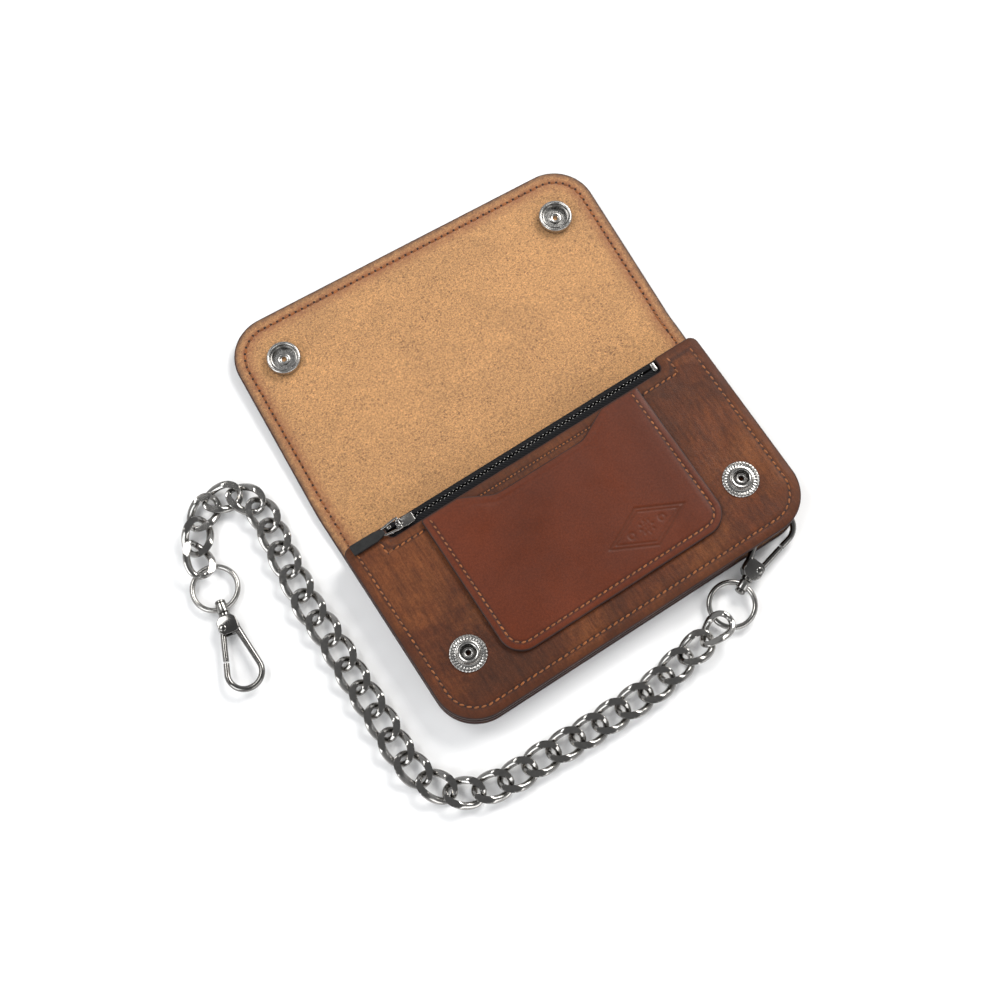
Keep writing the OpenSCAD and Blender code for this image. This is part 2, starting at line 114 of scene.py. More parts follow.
class LeatherLook(bpy.types.PropertyGroup):
    brown: FloatVectorProperty(
        name="Brown", description="Main colour of the waxed outer leather",
        subtype="COLOR", size=3, default=(0.096, 0.0245, 0.0070))
    worn: FloatVectorProperty(
        name="Worn", description="Colour where the waxed leather has paled",
        subtype="COLOR", size=3, default=(0.168, 0.0515, 0.0135))
    dark: FloatVectorProperty(
        name="Dark", description="Colour of its dark mottling",
        subtype="COLOR", size=3, default=(0.058, 0.0165, 0.0056))
    pocket: FloatVectorProperty(
        name="Pocket", description="Colour of the smooth card pocket",
        subtype="COLOR", size=3, default=(0.098, 0.0198, 0.0063))
    suede: FloatVectorProperty(
        name="Suede", description="Colour of the raw flesh side",
        subtype="COLOR", size=3, default=(0.468, 0.240, 0.089))
    edge: FloatVectorProperty(
        name="Edge", description="Colour of the burnished edges",
        subtype="COLOR", size=3, default=(0.026, 0.010, 0.007))
    edge_round: FloatProperty(
        name="Edge rounding", description="Radius of the burnished edges",
        subtype="DISTANCE", unit="LENGTH", default=0.5 * MM)
    seam_inset: FloatProperty(
        name="Seam inset", description="Distance of the front seam from the edge",
        subtype="DISTANCE", unit="LENGTH", default=4.6 * MM)


class ThreadLook(bpy.types.PropertyGroup):
    colour: FloatVectorProperty(
        name="Colour", description="Colour of the waxed thread",
        subtype="COLOR", size=3, default=(0.240, 0.072, 0.0110))
    pitch: FloatProperty(
        name="Pitch", description="Distance from stitch to stitch",
        subtype="DISTANCE", unit="LENGTH", default=2.9 * MM)
    width: FloatProperty(
        name="Width", description="Width of the thread",
        subtype="DISTANCE", unit="LENGTH", default=0.92 * MM)


class MetalLook(bpy.types.PropertyGroup):
    nickel: FloatVectorProperty(
        name="Nickel", description="Colour of the nickel plate",
        subtype="COLOR", size=3, default=(0.34, 0.33, 0.315))
    link_steps: IntProperty(
        name="Link steps", description="Steps round each link of the chain", default=44, min=24)
    facet: FloatProperty(
        name="Facet", description="Share of the wire's radius left by the filed facets",
        default=0.12, min=0, max=1)


# ---- mesh helpers ----


def corner_path(corners, inset=0.0):
    """Points of an outline whose corners (x, y, radius) are rounded with arcs.

    With an inset, the same number of points run inside it at that distance."""
    points = []
    count = len(corners)
    area = sum(a[0] * b[1] - b[0] * a[1] for a, b in zip(corners, corners[1:] + corners[:1]))
    side = 1 if area > 0 else -1
    for i, (x, y, radius) in enumerate(corners):
        here = Vector((x, y))
        before = (here - Vector(corners[i - 1][:2])).normalized()
        after = (Vector(corners[(i + 1) % count][:2]) - here).normalized()
        bend_to = before.x * after.y - before.y * after.x
        sides = [side * Vector((-d.y, d.x)) for d in (before, after)]
        here = here + (sides[0] + sides[1]) * inset / (1 + sides[0].dot(sides[1]))
        if radius <= 0:
            points.append(here)
            continue
        turn = math.atan2(bend_to, before.dot(after))
        bends = max(3, round(abs(turn) * radius / (1.1 * MM)))
        if bend_to * side > 0:
            radius = max(radius - inset, 0.12 * MM)
        centre = here + (after - before).normalized() * radius / math.cos(turn / 2)
        start = here - before * radius * math.tan(abs(turn) / 2) - centre
        for k in range(bends + 1):
            points.append(centre + Matrix.Rotation(turn * k / bends, 2) @ start)
    return points


def outline_distance(points, outline, closed=True):
    """Distance of each of an array of points from an outline or path, seen from above."""
    a = np.array([p[:] for p in outline])
    b = np.roll(a, -1, axis=0)
    if not closed:
        a, b = a[:-1], b[:-1]
    ab = b - a
    best = np.full(len(points), 1e9)
    for p, d in zip(a, ab):
        t = np.clip(((points - p) @ d) / max(d @ d, 1e-18), 0, 1)
        best = np.minimum(best, np.linalg.norm(points - p - t[:, None] * d, axis=1))
    return best


def cut_grid(bm, xs, ys):
    """Cuts a mesh along lines of equal x and lines of equal y."""
    for values, normal in ((xs, (1, 0, 0)), (ys, (0, 1, 0))):
        for value in values:
            geom = bm.verts[:] + bm.edges[:] + bm.faces[:]
            place = [value * n for n in normal]
            bmesh.ops.bisect_plane(bm, geom=geom, plane_co=place, plane_no=normal, dist=1e-7)


def steps(low, high, step):
    count = max(1, round((high - low) / step))
    return [low + (high - low) * i / count for i in range(1, count)]


def leather_slab(corners, low, high, edge, grooves=(), both=False, stop_y=1.0):
    """A cut piece of leather with rounded edges, and grooves at distances from its edge.

    Faces take material 0 above, 1 round the edge and 2 below. A groove isn't sunk
    beyond stop_y, where its stitches stop."""
    outline = corner_path(corners)
    bm = bmesh.new()
    face = bm.faces.new([bm.verts.new((p.x, p.y, low)) for p in outline])
    extrude(bm, face, (0, 0, high - low))
    rims = [e for e in bm.edges if abs(e.verts[0].co.z - e.verts[1].co.z) < 1e-9]
    bmesh.ops.bevel(bm, geom=rims, offset=edge, offset_type="OFFSET", segments=3,
                    profile=0.5, affect="EDGES", clamp_overlap=False, material=-1)
    for f in bm.faces:
        f.material_index = 1
    flats = sorted(bm.faces, key=lambda f: f.calc_area())[-2:]
    for f in flats:
        above = f.normal.z > 0
        f.material_index = 0 if above else 2
        if not above and not both:
            continue
        order = [min(range(len(outline)), key=lambda k: (outline[k] - v.co.to_2d()).length)
                 for v in f.verts]
        for distance, depth in grooves:
            bmesh.ops.inset_region(bm, faces=[f], thickness=0.01 * MM)
            inner = corner_path(corners, distance)
            for k, v in zip(order, f.verts):
                sunk = depth if inner[k].y < stop_y else 0
                v.co = (inner[k].x, inner[k].y, high - sunk if above else low + sunk)
    return bm


def groove_steps(inset, depth, half=0.75 * MM):
    """Insets of a stitched groove: down to its bottom and up again."""
    return ((inset - half, 0), (inset, depth), (inset + half, 0))


def piece(bm, name, body, materials, replaces=(), smooth=40, rim=None):
    """Turns a bmesh into a named piece that rides on a body, or on none.

    With one material, every face takes it. With a rim, each vertex stores its distance
    from that outline in mm."""
    for f in bm.faces:
        f.smooth = True
        if len(materials) == 1:
            f.material_index = 0
    limit = math.radians(smooth)
    for e in bm.edges:
        e.smooth = len(e.link_faces) != 2 or e.calc_face_angle(0) < limit
    mesh = bpy.data.meshes.new(name)
    bm.to_mesh(mesh)
    bm.free()
    obj = bpy.data.objects.new(name, mesh)
    bpy.context.scene.collection.objects.link(obj)
    for material in materials:
        mesh.materials.append(material)
    if rim:
        places = np.zeros(len(mesh.vertices) * 3)
        mesh.vertices.foreach_get("co", places)
        distance = outline_distance(places.reshape(-1, 3)[:, :2], rim) / MM
        attribute = mesh.attributes.new("rim", "FLOAT", "POINT")
        attribute.data.foreach_set("value", distance.astype(np.float32))
    if body:
        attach(obj, body)
    if replaces:
        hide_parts(*replaces)
    return obj


def reshape(obj, move):
    """Moves each vertex of a piece to move(place, distance from its rim in mm)."""
    mesh = obj.data
    rim = mesh.attributes.get("rim")
    for i, v in enumerate(mesh.vertices):
        v.co = move(v.co.copy(), rim.data[i].value if rim else 0)
    mesh.update()


def join(bm, part):
    """Adds one bmesh to another, and frees it."""
    holder = bpy.data.meshes.new("part")
    part.to_mesh(holder)
    part.free()
    bm.from_mesh(holder)
    bpy.data.meshes.remove(holder)


def faces_of(verts):
    """The faces that touch these vertices, each once and in a fixed order."""
    return list(dict.fromkeys(f for v in verts for f in v.link_faces))


def edges_of(verts):
    """The edges that touch these vertices, each once and in a fixed order."""
    return list(dict.fromkeys(e for v in verts for e in v.link_edges))


def lathe(bm, profile, place=Matrix.Identity(4), segments=64):
    """Spins a profile of (radius, height) in mm about Z, closed where it meets the axis."""
    verts = [bm.verts.new((r * MM, 0, z * MM)) for r, z in profile]
    edges = [bm.edges.new(pair) for pair in zip(verts, verts[1:])]
    bmesh.ops.spin(bm, geom=verts + edges, axis=(0, 0, 1), cent=(0, 0, 0), dvec=(0, 0, 0),
                   angle=2 * math.pi, steps=segments, use_merge=True)
    found = dict.fromkeys(verts)
    todo = list(verts)
    while todo:
        for e in todo.pop().link_edges:
            for v in e.verts:
                if v not in found:
                    found[v] = True
                    todo.append(v)
    bmesh.ops.remove_doubles(bm, verts=list(found), dist=1e-7)
    found = [v for v in found if v.is_valid]
    bmesh.ops.recalc_face_normals(bm, faces=faces_of(found))
    bmesh.ops.transform(bm, matrix=place, verts=found)
    return found


def wire(bm, points, radius, place=Matrix.Identity(4), sides=12, flat=1.0):
    """A wire along points of the XY plane, with one radius or a list of them.

    flat is its height over its width."""
    count = len(points)
    up = Vector((0, 0, 1))
    radii = radius if isinstance(radius, list) else [radius] * count
    ring = list(bmesh.ops.create_circle(bm, cap_ends=False, segments=sides, radius=1)["verts"])
    edges = edges_of(ring)
    rings = [ring]
    for _ in range(count - 1):
        made = bmesh.ops.extrude_edge_only(bm, edges=edges)["geom"]
        edges = [e for e in made if isinstance(e, bmesh.types.BMEdge)
                 and all(v in made for v in e.verts)]
        new = {v for v in made if isinstance(v, bmesh.types.BMVert)}
        ring = [next(e.other_vert(v) for e in v.link_edges if e.other_vert(v) in new)
                for v in ring]
        rings.append(ring)
    for i, ring in enumerate(rings):
        ahead = points[min(i + 1, count - 1)] - points[max(i - 1, 0)]
        side = ahead.normalized().cross(up)
        for k, v in enumerate(ring):
            a = 2 * math.pi * k / sides
            v.co = points[i] + radii[i] * (math.cos(a) * side + math.sin(a) * flat * up)
    for end in (0, -1):
        bmesh.ops.contextual_create(bm, geom=rings[end])
    verts = [v for ring in rings for v in ring]
    bmesh.ops.recalc_face_normals(bm, faces=faces_of(verts))
    bmesh.ops.transform(bm, matrix=place, verts=verts)


def arc(centre, radius, start, end, count):
    """Points along an arc in the XY plane, angles in degrees."""
    angles = [math.radians(start + (end - start) * i / count) for i in range(count + 1)]
    return [Vector((centre[0] + radius * math.cos(a), centre[1] + radius * math.sin(a), 0))
            for a in angles]


def spots(*places):
    """Points of the XY plane from (x, y) in mm."""
    return [Vector((x * MM, y * MM, 0)) for x, y in places]


def extrude(bm, face, ahead):
    """Turns one face into a solid by extruding it along a vector."""
    made = bmesh.ops.extrude_face_region(bm, geom=[face])
    moved = [v for v in made["geom"] if isinstance(v, bmesh.types.BMVert)]
    bmesh.ops.translate(bm, verts=moved, vec=ahead)
    bmesh.ops.recalc_face_normals(bm, faces=bm.faces)


def block(bm, low, high, round_by, place=Matrix.Identity(4), segments=2):
    """A rounded block between two corners."""
    size = [b - a for a, b in zip(low, high)]
    mid = [(a + b) / 2 for a, b in zip(low, high)]
    matrix = place @ Matrix.Translation(mid) @ Matrix.Diagonal((*size, 1))
    verts = bmesh.ops.create_cube(bm, size=1, matrix=matrix)["verts"]
    if round_by:
        bmesh.ops.bevel(bm, geom=edges_of(verts), offset=round_by, offset_type="OFFSET",
                        segments=segments, profile=0.5, affect="EDGES", clamp_overlap=True,
                        material=-1)


def along(path, pitch, closed=False):
    """Evenly spaced (place, direction) pairs along a path of 2-D points."""
    points = list(path) + ([path[0]] if closed else [])
    lengths = [0]
    for a, b in zip(points, points[1:]):
        lengths.append(lengths[-1] + (b - a).length)
    count = max(1, round(lengths[-1] / pitch))
    made = []
    i = 0
    for k in range(count):
        at = lengths[-1] * (k + 0.5) / count
        while lengths[i + 1] < at:
            i += 1
        a, b = points[i], points[i + 1]
        ahead = (b - a).normalized()
        made.append((a + ahead * (at - lengths[i]), ahead))
    return made


# ---- materials ----


class Nodes:
    """Short names for building a material's node tree."""

    def __init__(self, name):
        self.material = bpy.data.materials.new(name)
        self.material.use_nodes = True
        self.tree = self.material.node_tree
        self.bsdf = self.tree.nodes["Principled BSDF"]
        self.coords = self.add("ShaderNodeTexCoord").outputs["Object"]

    def add(self, kind, **values):
        node = self.tree.nodes.new(kind)
        for key, value in values.items():
            setattr(node, key, value)
        return node

    def link(self, source, target):
        self.tree.links.new(source, target)

    def noise(self, scale, detail=3, rough=0.55, stretch=None, distortion=0):
        node = self.add("ShaderNodeTexNoise")
        for key, value in (("Scale", scale), ("Detail", detail), ("Roughness", rough),
                           ("Distortion", distortion)):
            node.inputs[key].default_value = value
        coords = self.coords
        if stretch:
            mapping = self.add("ShaderNodeMapping")
            mapping.inputs["Scale"].default_value = stretch
            self.link(coords, mapping.inputs["Vector"])
            coords = mapping.outputs["Vector"]
        self.link(coords, node.inputs["Vector"])
        return node.outputs["Fac"]

    def cells(self, scale, feature="DISTANCE_TO_EDGE"):
        node = self.add("ShaderNodeTexVoronoi", feature=feature)
        node.inputs["Scale"].default_value = scale
        self.link(self.coords, node.inputs["Vector"])
        return node.outputs["Distance"]

    def spread(self, value, low, high, to_low=0.0, to_high=1.0):
        node = self.add("ShaderNodeMapRange")
        self.link(value, node.inputs["Value"])
        for key, number in zip(("From Min", "From Max", "To Min", "To Max"),
                               (low, high, to_low, to_high)):
            node.inputs[key].default_value = number
        return node.outputs["Result"]

    def maths(self, operation, a, b):
        node = self.add("ShaderNodeMath", operation=operation)
        for socket, value in zip(node.inputs, (a, b)):
            if isinstance(value, (int, float)):
                socket.default_value = value
            else:
                self.link(value, socket)
        return node.outputs["Value"]

    def times(self, a, b):
        return self.maths("MULTIPLY", a, b)

    def plus(self, a, b):
        return self.maths("ADD", a, b)

    def mix(self, factor, a, b, blend="MIX"):
        node = self.add("ShaderNodeMix", data_type="RGBA", blend_type=blend)
        for socket, value in ((node.inputs["Factor"], factor), (node.inputs["A"], a),
                              (node.inputs["B"], b)):
            if isinstance(value, (int, float)):
                socket.default_value = value
            elif isinstance(value, bpy.types.NodeSocket):
                self.link(value, socket)
            else:
                socket.default_value = (*value[:3], 1)
        return node.outputs["Result"]

    def shade(self, colour, tone):
        """Multiplies a colour by a grey tone."""
        return self.mix(1.0, colour, tone, "MULTIPLY")

    def attribute(self, name):
        return self.add("ShaderNodeAttribute", attribute_name=name).outputs["Fac"]

    def bump(self, height, distance, strength=1.0):
        node = self.add("ShaderNodeBump")
        node.inputs["Distance"].default_value = distance
        node.inputs["Strength"].default_value = strength
        self.link(height, node.inputs["Height"])
        return node.outputs["Normal"]

    def surface(self, colour, roughness, normal=None, **constants):
        """Links or sets the shader's sockets, and gives the material.

        constants are the shader's own plain numbers, as specular_ior_level=0.22."""
        for key, value in (("Base Color", colour), ("Roughness", roughness), ("Normal", normal)):
            if isinstance(value, bpy.types.NodeSocket):
                self.link(value, self.bsdf.inputs[key])
            elif value is not None:
                self.bsdf.inputs[key].default_value = value
        for key, value in constants.items():
            socket = key.replace("_", " ").title().replace("Ior", "IOR")
            self.bsdf.inputs[socket].default_value = value
        return self.material


def painted_groove_shade(n, colour, away, dark):
    """Painted shade in the groove that a seam lies in: darkens the colour by the distance away
    from the seam in mm.
    """
    return n.mix(n.spread(away, 0.35, 1.25, 0.62, 0.0), colour, dark)


def waxed_leather():
    """Mottled pull-up leather: dark and pale clouds, fine streaks, pores and soft creases, with
    painted shade in its seam's groove.
    """
    look = bpy.context.scene.wallet_leather
    n = Nodes("waxed_leather")
    clouds = n.spread(n.noise(26, 4, 0.6, distortion=0.6), 0.36, 0.62)
    colour = n.mix(clouds, look.dark, look.brown)
    worn = n.spread(n.noise(19, 6, 0.70, distortion=0.9), 0.46, 0.68, 0, 0.9)
    colour = n.mix(worn, colour, look.worn)
    streaks = n.spread(n.noise(1, 5, 0.7, stretch=(700, 110, 300)), 0.35, 0.7, 0.66, 1.26)
    speck = n.spread(n.noise(1300, 4, 0.75), 0.3, 0.7, 0.66, 1.26)
    colour = n.shade(colour, n.times(streaks, speck))
    rim = n.attribute("rim")
    colour = n.mix(n.spread(rim, 0.3, 3.6, 0.75, 0.0), colour, look.dark)
    # painted shade in the seam's groove, in the burnished edges' colour
    away = n.maths("ABSOLUTE", n.maths("SUBTRACT", rim, look.seam_inset / MM), 0.0)
    colour = painted_groove_shade(n, colour, away, look.edge)
    pores = n.spread(n.cells(1250), 0.0, 0.22)
    creases = n.noise(190, 5, 0.6, distortion=1.2)
    height = n.plus(n.times(pores, 0.35), n.times(creases, 1.2))
    height = n.plus(height, n.times(n.noise(2600, 3, 0.6), 0.35))
    rough = n.spread(n.noise(90, 5, 0.65), 0.3, 0.7, 0.42, 0.64)
    return n.surface(colour, rough, n.bump(height, 0.12 * MM, 0.9), specular_ior_level=0.22)


def pocket_leather():
    """Smooth red-brown leather, softly polished, with a fine tight grain and painted shade in its
    seam's groove.
    """
    look = bpy.context.scene.wallet_leather
    n = Nodes("pocket_leather")
    clouds = n.spread(n.noise(10, 5, 0.6, distortion=0.5), 0.34, 0.66, 0.76, 1.30)
    fine = n.spread(n.noise(1200, 4, 0.7), 0.3, 0.7, 0.78, 1.20)
    colour = n.shade(look.pocket, n.times(clouds, fine))
    edge = n.spread(n.attribute("rim"), 0.2, 1.6, 0.45, 0.0)
    colour = n.mix(edge, colour, look.dark)
    # painted shade in the seam's groove, in the burnished edges' colour, from the pocket's seam
    # attribute
    away = n.maths("SUBTRACT", SEAM_REACH, n.attribute("seam"))
    colour = painted_groove_shade(n, colour, away, look.edge)
    sunk = n.spread(n.attribute("emboss"), 0.0, 1.0, 0.0, 0.45)
    colour = n.mix(sunk, colour, look.dark)
    grain = n.times(n.spread(n.cells(1700), 0.0, 0.2), 0.2)
    height = n.plus(grain, n.times(n.noise(240, 4, 0.55, distortion=0.8), 0.8))
    rough = n.spread(n.noise(60, 4, 0.6), 0.3, 0.7, 0.38, 0.52)
    return n.surface(colour, rough, n.bump(height, 0.08 * MM, 0.8), specular_ior_level=0.22)


def suede_leather():
    """Raw flesh side: tan nap with dark fibres, stained by its seam and burnt at its rim."""
    look = bpy.context.scene.wallet_leather
    n = Nodes("suede_leather")
    rim = n.attribute("rim")
    broad = n.spread(n.noise(30, 5, 0.6, distortion=0.5), 0.3, 0.7, 0.88, 1.12)
    nap = n.spread(n.noise(1500, 5, 0.82, distortion=0.5), 0.34, 0.66, 0.36, 1.62)
    colour = n.shade(look.suede, n.times(broad, nap))
    fibres = n.spread(n.noise(1, 4, 0.75, stretch=(800, 1900, 800), distortion=1.2),
                      0.54, 0.64, 0.0, 0.80)
    colour = n.mix(fibres, colour, (0.15, 0.060, 0.025))
    specks = n.times(n.spread(n.cells(640, "F1"), 0.12, 0.36, 0.8, 0.0),
                     n.spread(n.noise(90, 5, 0.75), 0.42, 0.60, 0.0, 1.0))
    colour = n.mix(specks, colour, (0.13, 0.050, 0.020))
    grime = n.times(n.spread(rim, 1.0, 13.0, 1.0, 0.0),
                    n.spread(n.noise(420, 5, 0.75), 0.42, 0.68, 0.0, 0.75))
    colour = n.mix(grime, colour, (0.22, 0.085, 0.032))
    # reddish where the thread has stained and puckered the nap
    seam = n.times(n.spread(rim, 1.6, 4.2, 0.0, 1.0), n.spread(rim, 5.0, 9.0, 1.0, 0.0))
    seam = n.times(seam, n.spread(n.noise(520, 5, 0.75), 0.34, 0.60, 0.22, 0.92))
    colour = n.mix(seam, colour, (0.24, 0.075, 0.026))
    burnt = n.times(n.spread(rim, 0.5, 2.6, 1.0, 0.0),
                    n.spread(n.noise(330, 4, 0.7), 0.36, 0.58, 0.62, 0.96))
    colour = n.mix(burnt, colour, (0.080, 0.028, 0.013))
    height = n.plus(n.noise(1100, 6, 0.8, distortion=0.6), n.times(n.noise(300, 4, 0.6), 0.8))
    return n.surface(colour, 0.92, n.bump(height, 0.45 * MM),
                     sheen_weight=0.25, sheen_roughness=0.6)


def edge_leather():
    """Burnished edge: nearly black-brown with faint layers and a low gloss."""
    look = bpy.context.scene.wallet_leather
    n = Nodes("edge_leather")
    bands = n.spread(n.noise(1, 4, 0.6, stretch=(90, 90, 2600)), 0.35, 0.65, 0.65, 1.7)
    pale = n.spread(n.noise(70, 4, 0.6), 0.50, 0.72, 0.0, 0.5)
    colour = n.mix(pale, n.shade(look.edge, bands), (0.075, 0.026, 0.014))
    return n.surface(colour, 0.5, n.bump(n.noise(900, 4, 0.7), 0.06 * MM, 0.7),
                     specular_ior_level=0.3)


def thread_fibre():
    """Waxed thread: rust with paler and darker stitches and twisted plies."""
    look = bpy.context.scene.wallet_thread
    n = Nodes("thread_fibre")
    tone = n.spread(n.noise(260, 3, 0.6), 0.3, 0.7, 0.55, 1.35)
    plies = n.noise(1, 2, 0.5, stretch=(3200, 3200, 3200), distortion=0.8)
    return n.surface(n.shade(look.colour, tone), 0.55, n.bump(plies, 0.12 * MM, 0.9))


def nickel_plate(name="nickel_plate", tint=1.0, rough=0.2, grain=0.3):
    """Polished nickel with faint wear, small scratches and soft waviness."""
    look = bpy.context.scene.wallet_metal
    n = Nodes(name)
    tone = n.spread(n.noise(420, 5, 0.7), 0.3, 0.7, 0.90 * tint, 1.05 * tint)
    wear = n.spread(n.noise(750, 5, 0.75), 0.35, 0.7, rough * 0.8, rough * 1.35)
    scratches = n.noise(1, 3, 0.7, stretch=(2600, 500, 1500), distortion=0.4)
    height = n.plus(n.times(n.noise(230, 3, 0.5), 0.9), n.times(scratches, 0.2))
    return n.surface(n.shade(look.nickel, tone), wear, n.bump(height, 0.05 * MM, grain),
                     metallic=1.0)


def painted_hole_shade():
    """Painted shade: the dark of the pricked hole that each stitch goes down, laid on a small flat
    ellipsoid.
    """
    n = Nodes("painted_hole_shade")
    tone = n.spread(n.noise(900, 3, 0.6), 0.3, 0.7, 0.6, 1.4)
    return n.surface(n.shade((0.022, 0.009, 0.006), tone), 0.8)


def zip_tape():
    """Black woven tape with a fine herringbone rib."""
    n = Nodes("zip_tape")
    node = n.add("ShaderNodeTexWave", bands_direction="DIAGONAL")
    node.inputs["Scale"].default_value = 420
    node.inputs["Distortion"].default_value = 1.0
    n.link(n.coords, node.inputs["Vector"])
    ribs = node.outputs["Fac"]
    colour = n.shade((0.008, 0.008, 0.009), n.spread(ribs, 0, 1, 0.6, 1.5))
    return n.surface(colour, 0.85, n.bump(ribs, 0.12 * MM, 0.8), specular_ior_level=0.18)


def pull_leather():
    """Matt black leatherette of the zip's pull tab."""
    n = Nodes("pull_leather")
    tone = n.spread(n.noise(600, 4, 0.6), 0.3, 0.7, 0.7, 1.6)
    return n.surface(n.shade((0.009, 0.009, 0.009), tone), 0.55,
                     n.bump(n.cells(1500), 0.05 * MM, 0.8), specular_ior_level=0.3)


MATERIALS = {}


def material(make, *args):
    """The material that a function makes, made once."""
    key = (make.__name__, *args)
    if key not in MATERIALS:
        MATERIALS[key] = make(*args)
    return MATERIALS[key]


def leather_set():
    return [material(waxed_leather), material(edge_leather), material(waxed_leather)]


# ---- stage ----

AIM = Vector((-18.6 * MM, 30.6 * MM, 0))  # what the camera and the lights look at
CAMERA_TURN, CAMERA_HEIGHT = math.radians(-33.1), math.radians(73.2)
CAMERA_DISTANCE = 0.70
CAMERA_LENS = 61.9
FLOOR_Z = -0.3 * MM
# what the studio gives from straight overhead, and from its walls
OVERHEAD, WALLS = 0.2, 0.78
# place, width and depth, watts and colour of each softbox
SOFTBOXES = {
    "key": ((0.70, 0.30, 0.72), (0.60, 0.40), 9.5, (1.0, 0.985, 0.96)),
    "fill": ((-0.80, -0.10, 0.62), (0.50, 0.70), 4.2, (0.96, 0.98, 1.0)),
    "front": ((0.15, -0.85, 0.55), (0.90, 0.25), 2.6, (1.0, 1.0, 1.0)),
    "top": ((-0.35, 0.60, 0.95), (0.45, 0.30), 3.4, (1.0, 1.0, 1.0)),
}


def add_looking(name, data, place):
    """Adds a camera or light at a place, looking at what the stage shows."""
    obj = bpy.data.objects.new(name, data)
    obj.location = place
    obj.rotation_euler = (AIM - Vector(place)).to_track_quat("-Z", "Y").to_euler()
    bpy.context.scene.collection.objects.link(obj)
    return obj


class WALLET_OT_stage(bpy.types.Operator):
    """Camera, pale floor and soft studio lights"""
    bl_idname = "wallet.stage"
    bl_label = "Stage"

    def execute(self, context):
        flat = math.cos(CAMERA_HEIGHT)
        back = Vector((math.sin(CAMERA_TURN) * flat, -math.cos(CAMERA_TURN) * flat,
                       math.sin(CAMERA_HEIGHT)))
        camera = bpy.data.cameras.new("camera")
        camera.lens = CAMERA_LENS
        camera.sensor_width = 36
        camera.clip_start = 0.01
        context.scene.camera = add_looking("camera", camera, AIM + back * CAMERA_DISTANCE)

        bm = bmesh.new()
        bmesh.ops.create_grid(bm, x_segments=8, y_segments=8, size=6,
                              matrix=Matrix.Translation((0, 0, FLOOR_Z)))
        mesh = bpy.data.meshes.new("floor")
        bm.to_mesh(mesh)
        bm.free()
        floor = bpy.data.objects.new("floor", mesh)
        n = Nodes("floor")
        tone = n.spread(n.noise(6, 3, 0.5), 0.3, 0.7, 0.955, 0.975)
        # far from the softboxes the floor glows a little, so that it stays pale to its end
        reach = n.add("ShaderNodeVectorMath", operation="LENGTH")
        n.link(n.coords, reach.inputs[0])
        n.link(n.spread(reach.outputs["Value"], 0.8, 2.6, 0.0, 0.40),
               n.bsdf.inputs["Emission Strength"])
        mesh.materials.append(n.surface(n.shade((0.93, 0.93, 0.93), tone), 0.9,
                                        emission_color=(0.97, 0.98, 1.0, 1)))
        context.scene.collection.objects.link(floor)

        # a studio that is dim overhead and brighter towards the walls
        world = bpy.data.worlds.new("studio")
        world.use_nodes = True
        nodes, links = world.node_tree.nodes, world.node_tree.links
        sky = nodes["Background"]
        direction = nodes.new("ShaderNodeTexCoord")
        split = nodes.new("ShaderNodeSeparateXYZ")
        fade = nodes.new("ShaderNodeMapRange")
        for key, value in (("From Min", 0.15), ("From Max", 0.92), ("To Min", WALLS),
                           ("To Max", OVERHEAD)):
            fade.inputs[key].default_value = value
        links.new(direction.outputs["Generated"], split.inputs["Vector"])
        links.new(split.outputs["Z"], fade.inputs["Value"])
        links.new(fade.outputs["Result"], sky.inputs["Strength"])
        sky.inputs["Color"].default_value = (0.97, 0.98, 1.0, 1)
        context.scene.world = world
        context.scene.view_settings.view_transform = "Standard"
        for name, (place, size, watts, colour) in SOFTBOXES.items():
            light = bpy.data.lights.new(name, "AREA")
            light.shape = "RECTANGLE"
            light.size, light.size_y = size
            light.energy = watts
            light.color = colour
            add_looking(name, light, place)
        return {"FINISHED"}


# ---- leather pieces ----


def front_corners():
    """The front panel, with the zip's opening cut from its top edge."""
    ear = 1.2 * MM
    return [(HALF_W, TOP_Y, 3.5 * MM), (NOTCH_X, TOP_Y, ear), (NOTCH_X, NOTCH_Y, 2 * MM),
            (-NOTCH_X, NOTCH_Y, 2 * MM), (-NOTCH_X, TOP_Y, ear), (-HALF_W, TOP_Y, 3.5 * MM),
            (-HALF_W, -TOP_Y, CORNER), (HALF_W, -TOP_Y, CORNER)]


def front_rise(x, y, rim):
    """How far the front panel stands above its flat: soft waves, pinched at its edge."""
    wave = 0.16 * MM * math.sin(x / (21 * MM) + 0.7) * math.cos(y / (17 * MM) - 0.4)
    stud = math.hypot(abs(x) - SNAP_X, y - STUD_Y) / (14 * MM)
    pinch = -0.4 * MM * max(0, 1 - rim / 4.0) ** 2
    return wave * min(1, stud) ** 2 * min(1, rim / 6) + pinch


def bend(u, v, z):
    """Takes a point of the flat outer leather to the open wallet's rest place.

    v is the distance beyond the first fold, and z the height above the leather's middle."""
    t = min(1, max(0, (v - SPINE + SKEW_HALF) / (2 * SKEW_HALF)))
    skew = SKEW * t * t * (3 - 2 * t)
    flat = Vector((u, v, z))
    if t > 0:
        turned = Matrix.Rotation(skew, 3, "Z") @ Vector((u, v - SPINE, z))
        flat = Vector((turned.x, turned.y + SPINE, z))
    if v > 0:
        flat = Matrix.Rotation(TILT * min(1, v / LIFT_END), 3, "X") @ flat
    return FOLD_1 + flat


def flap_ripple(u, v, rim):
    """Slow waves in the open flap, calm near its snaps, its edge and the fold."""
    snap = math.hypot(abs(u) - SNAP_X, v - SPINE - SNAP_V) / (16 * MM)
    calm = min(1, max(0, v - SPINE) / (30 * MM)) * min(1, rim / 8) * min(1, snap) ** 2
    return 0.45 * MM * calm * math.sin(u / (26 * MM) + 0.8) * math.sin(v / (23 * MM) + 2.1)


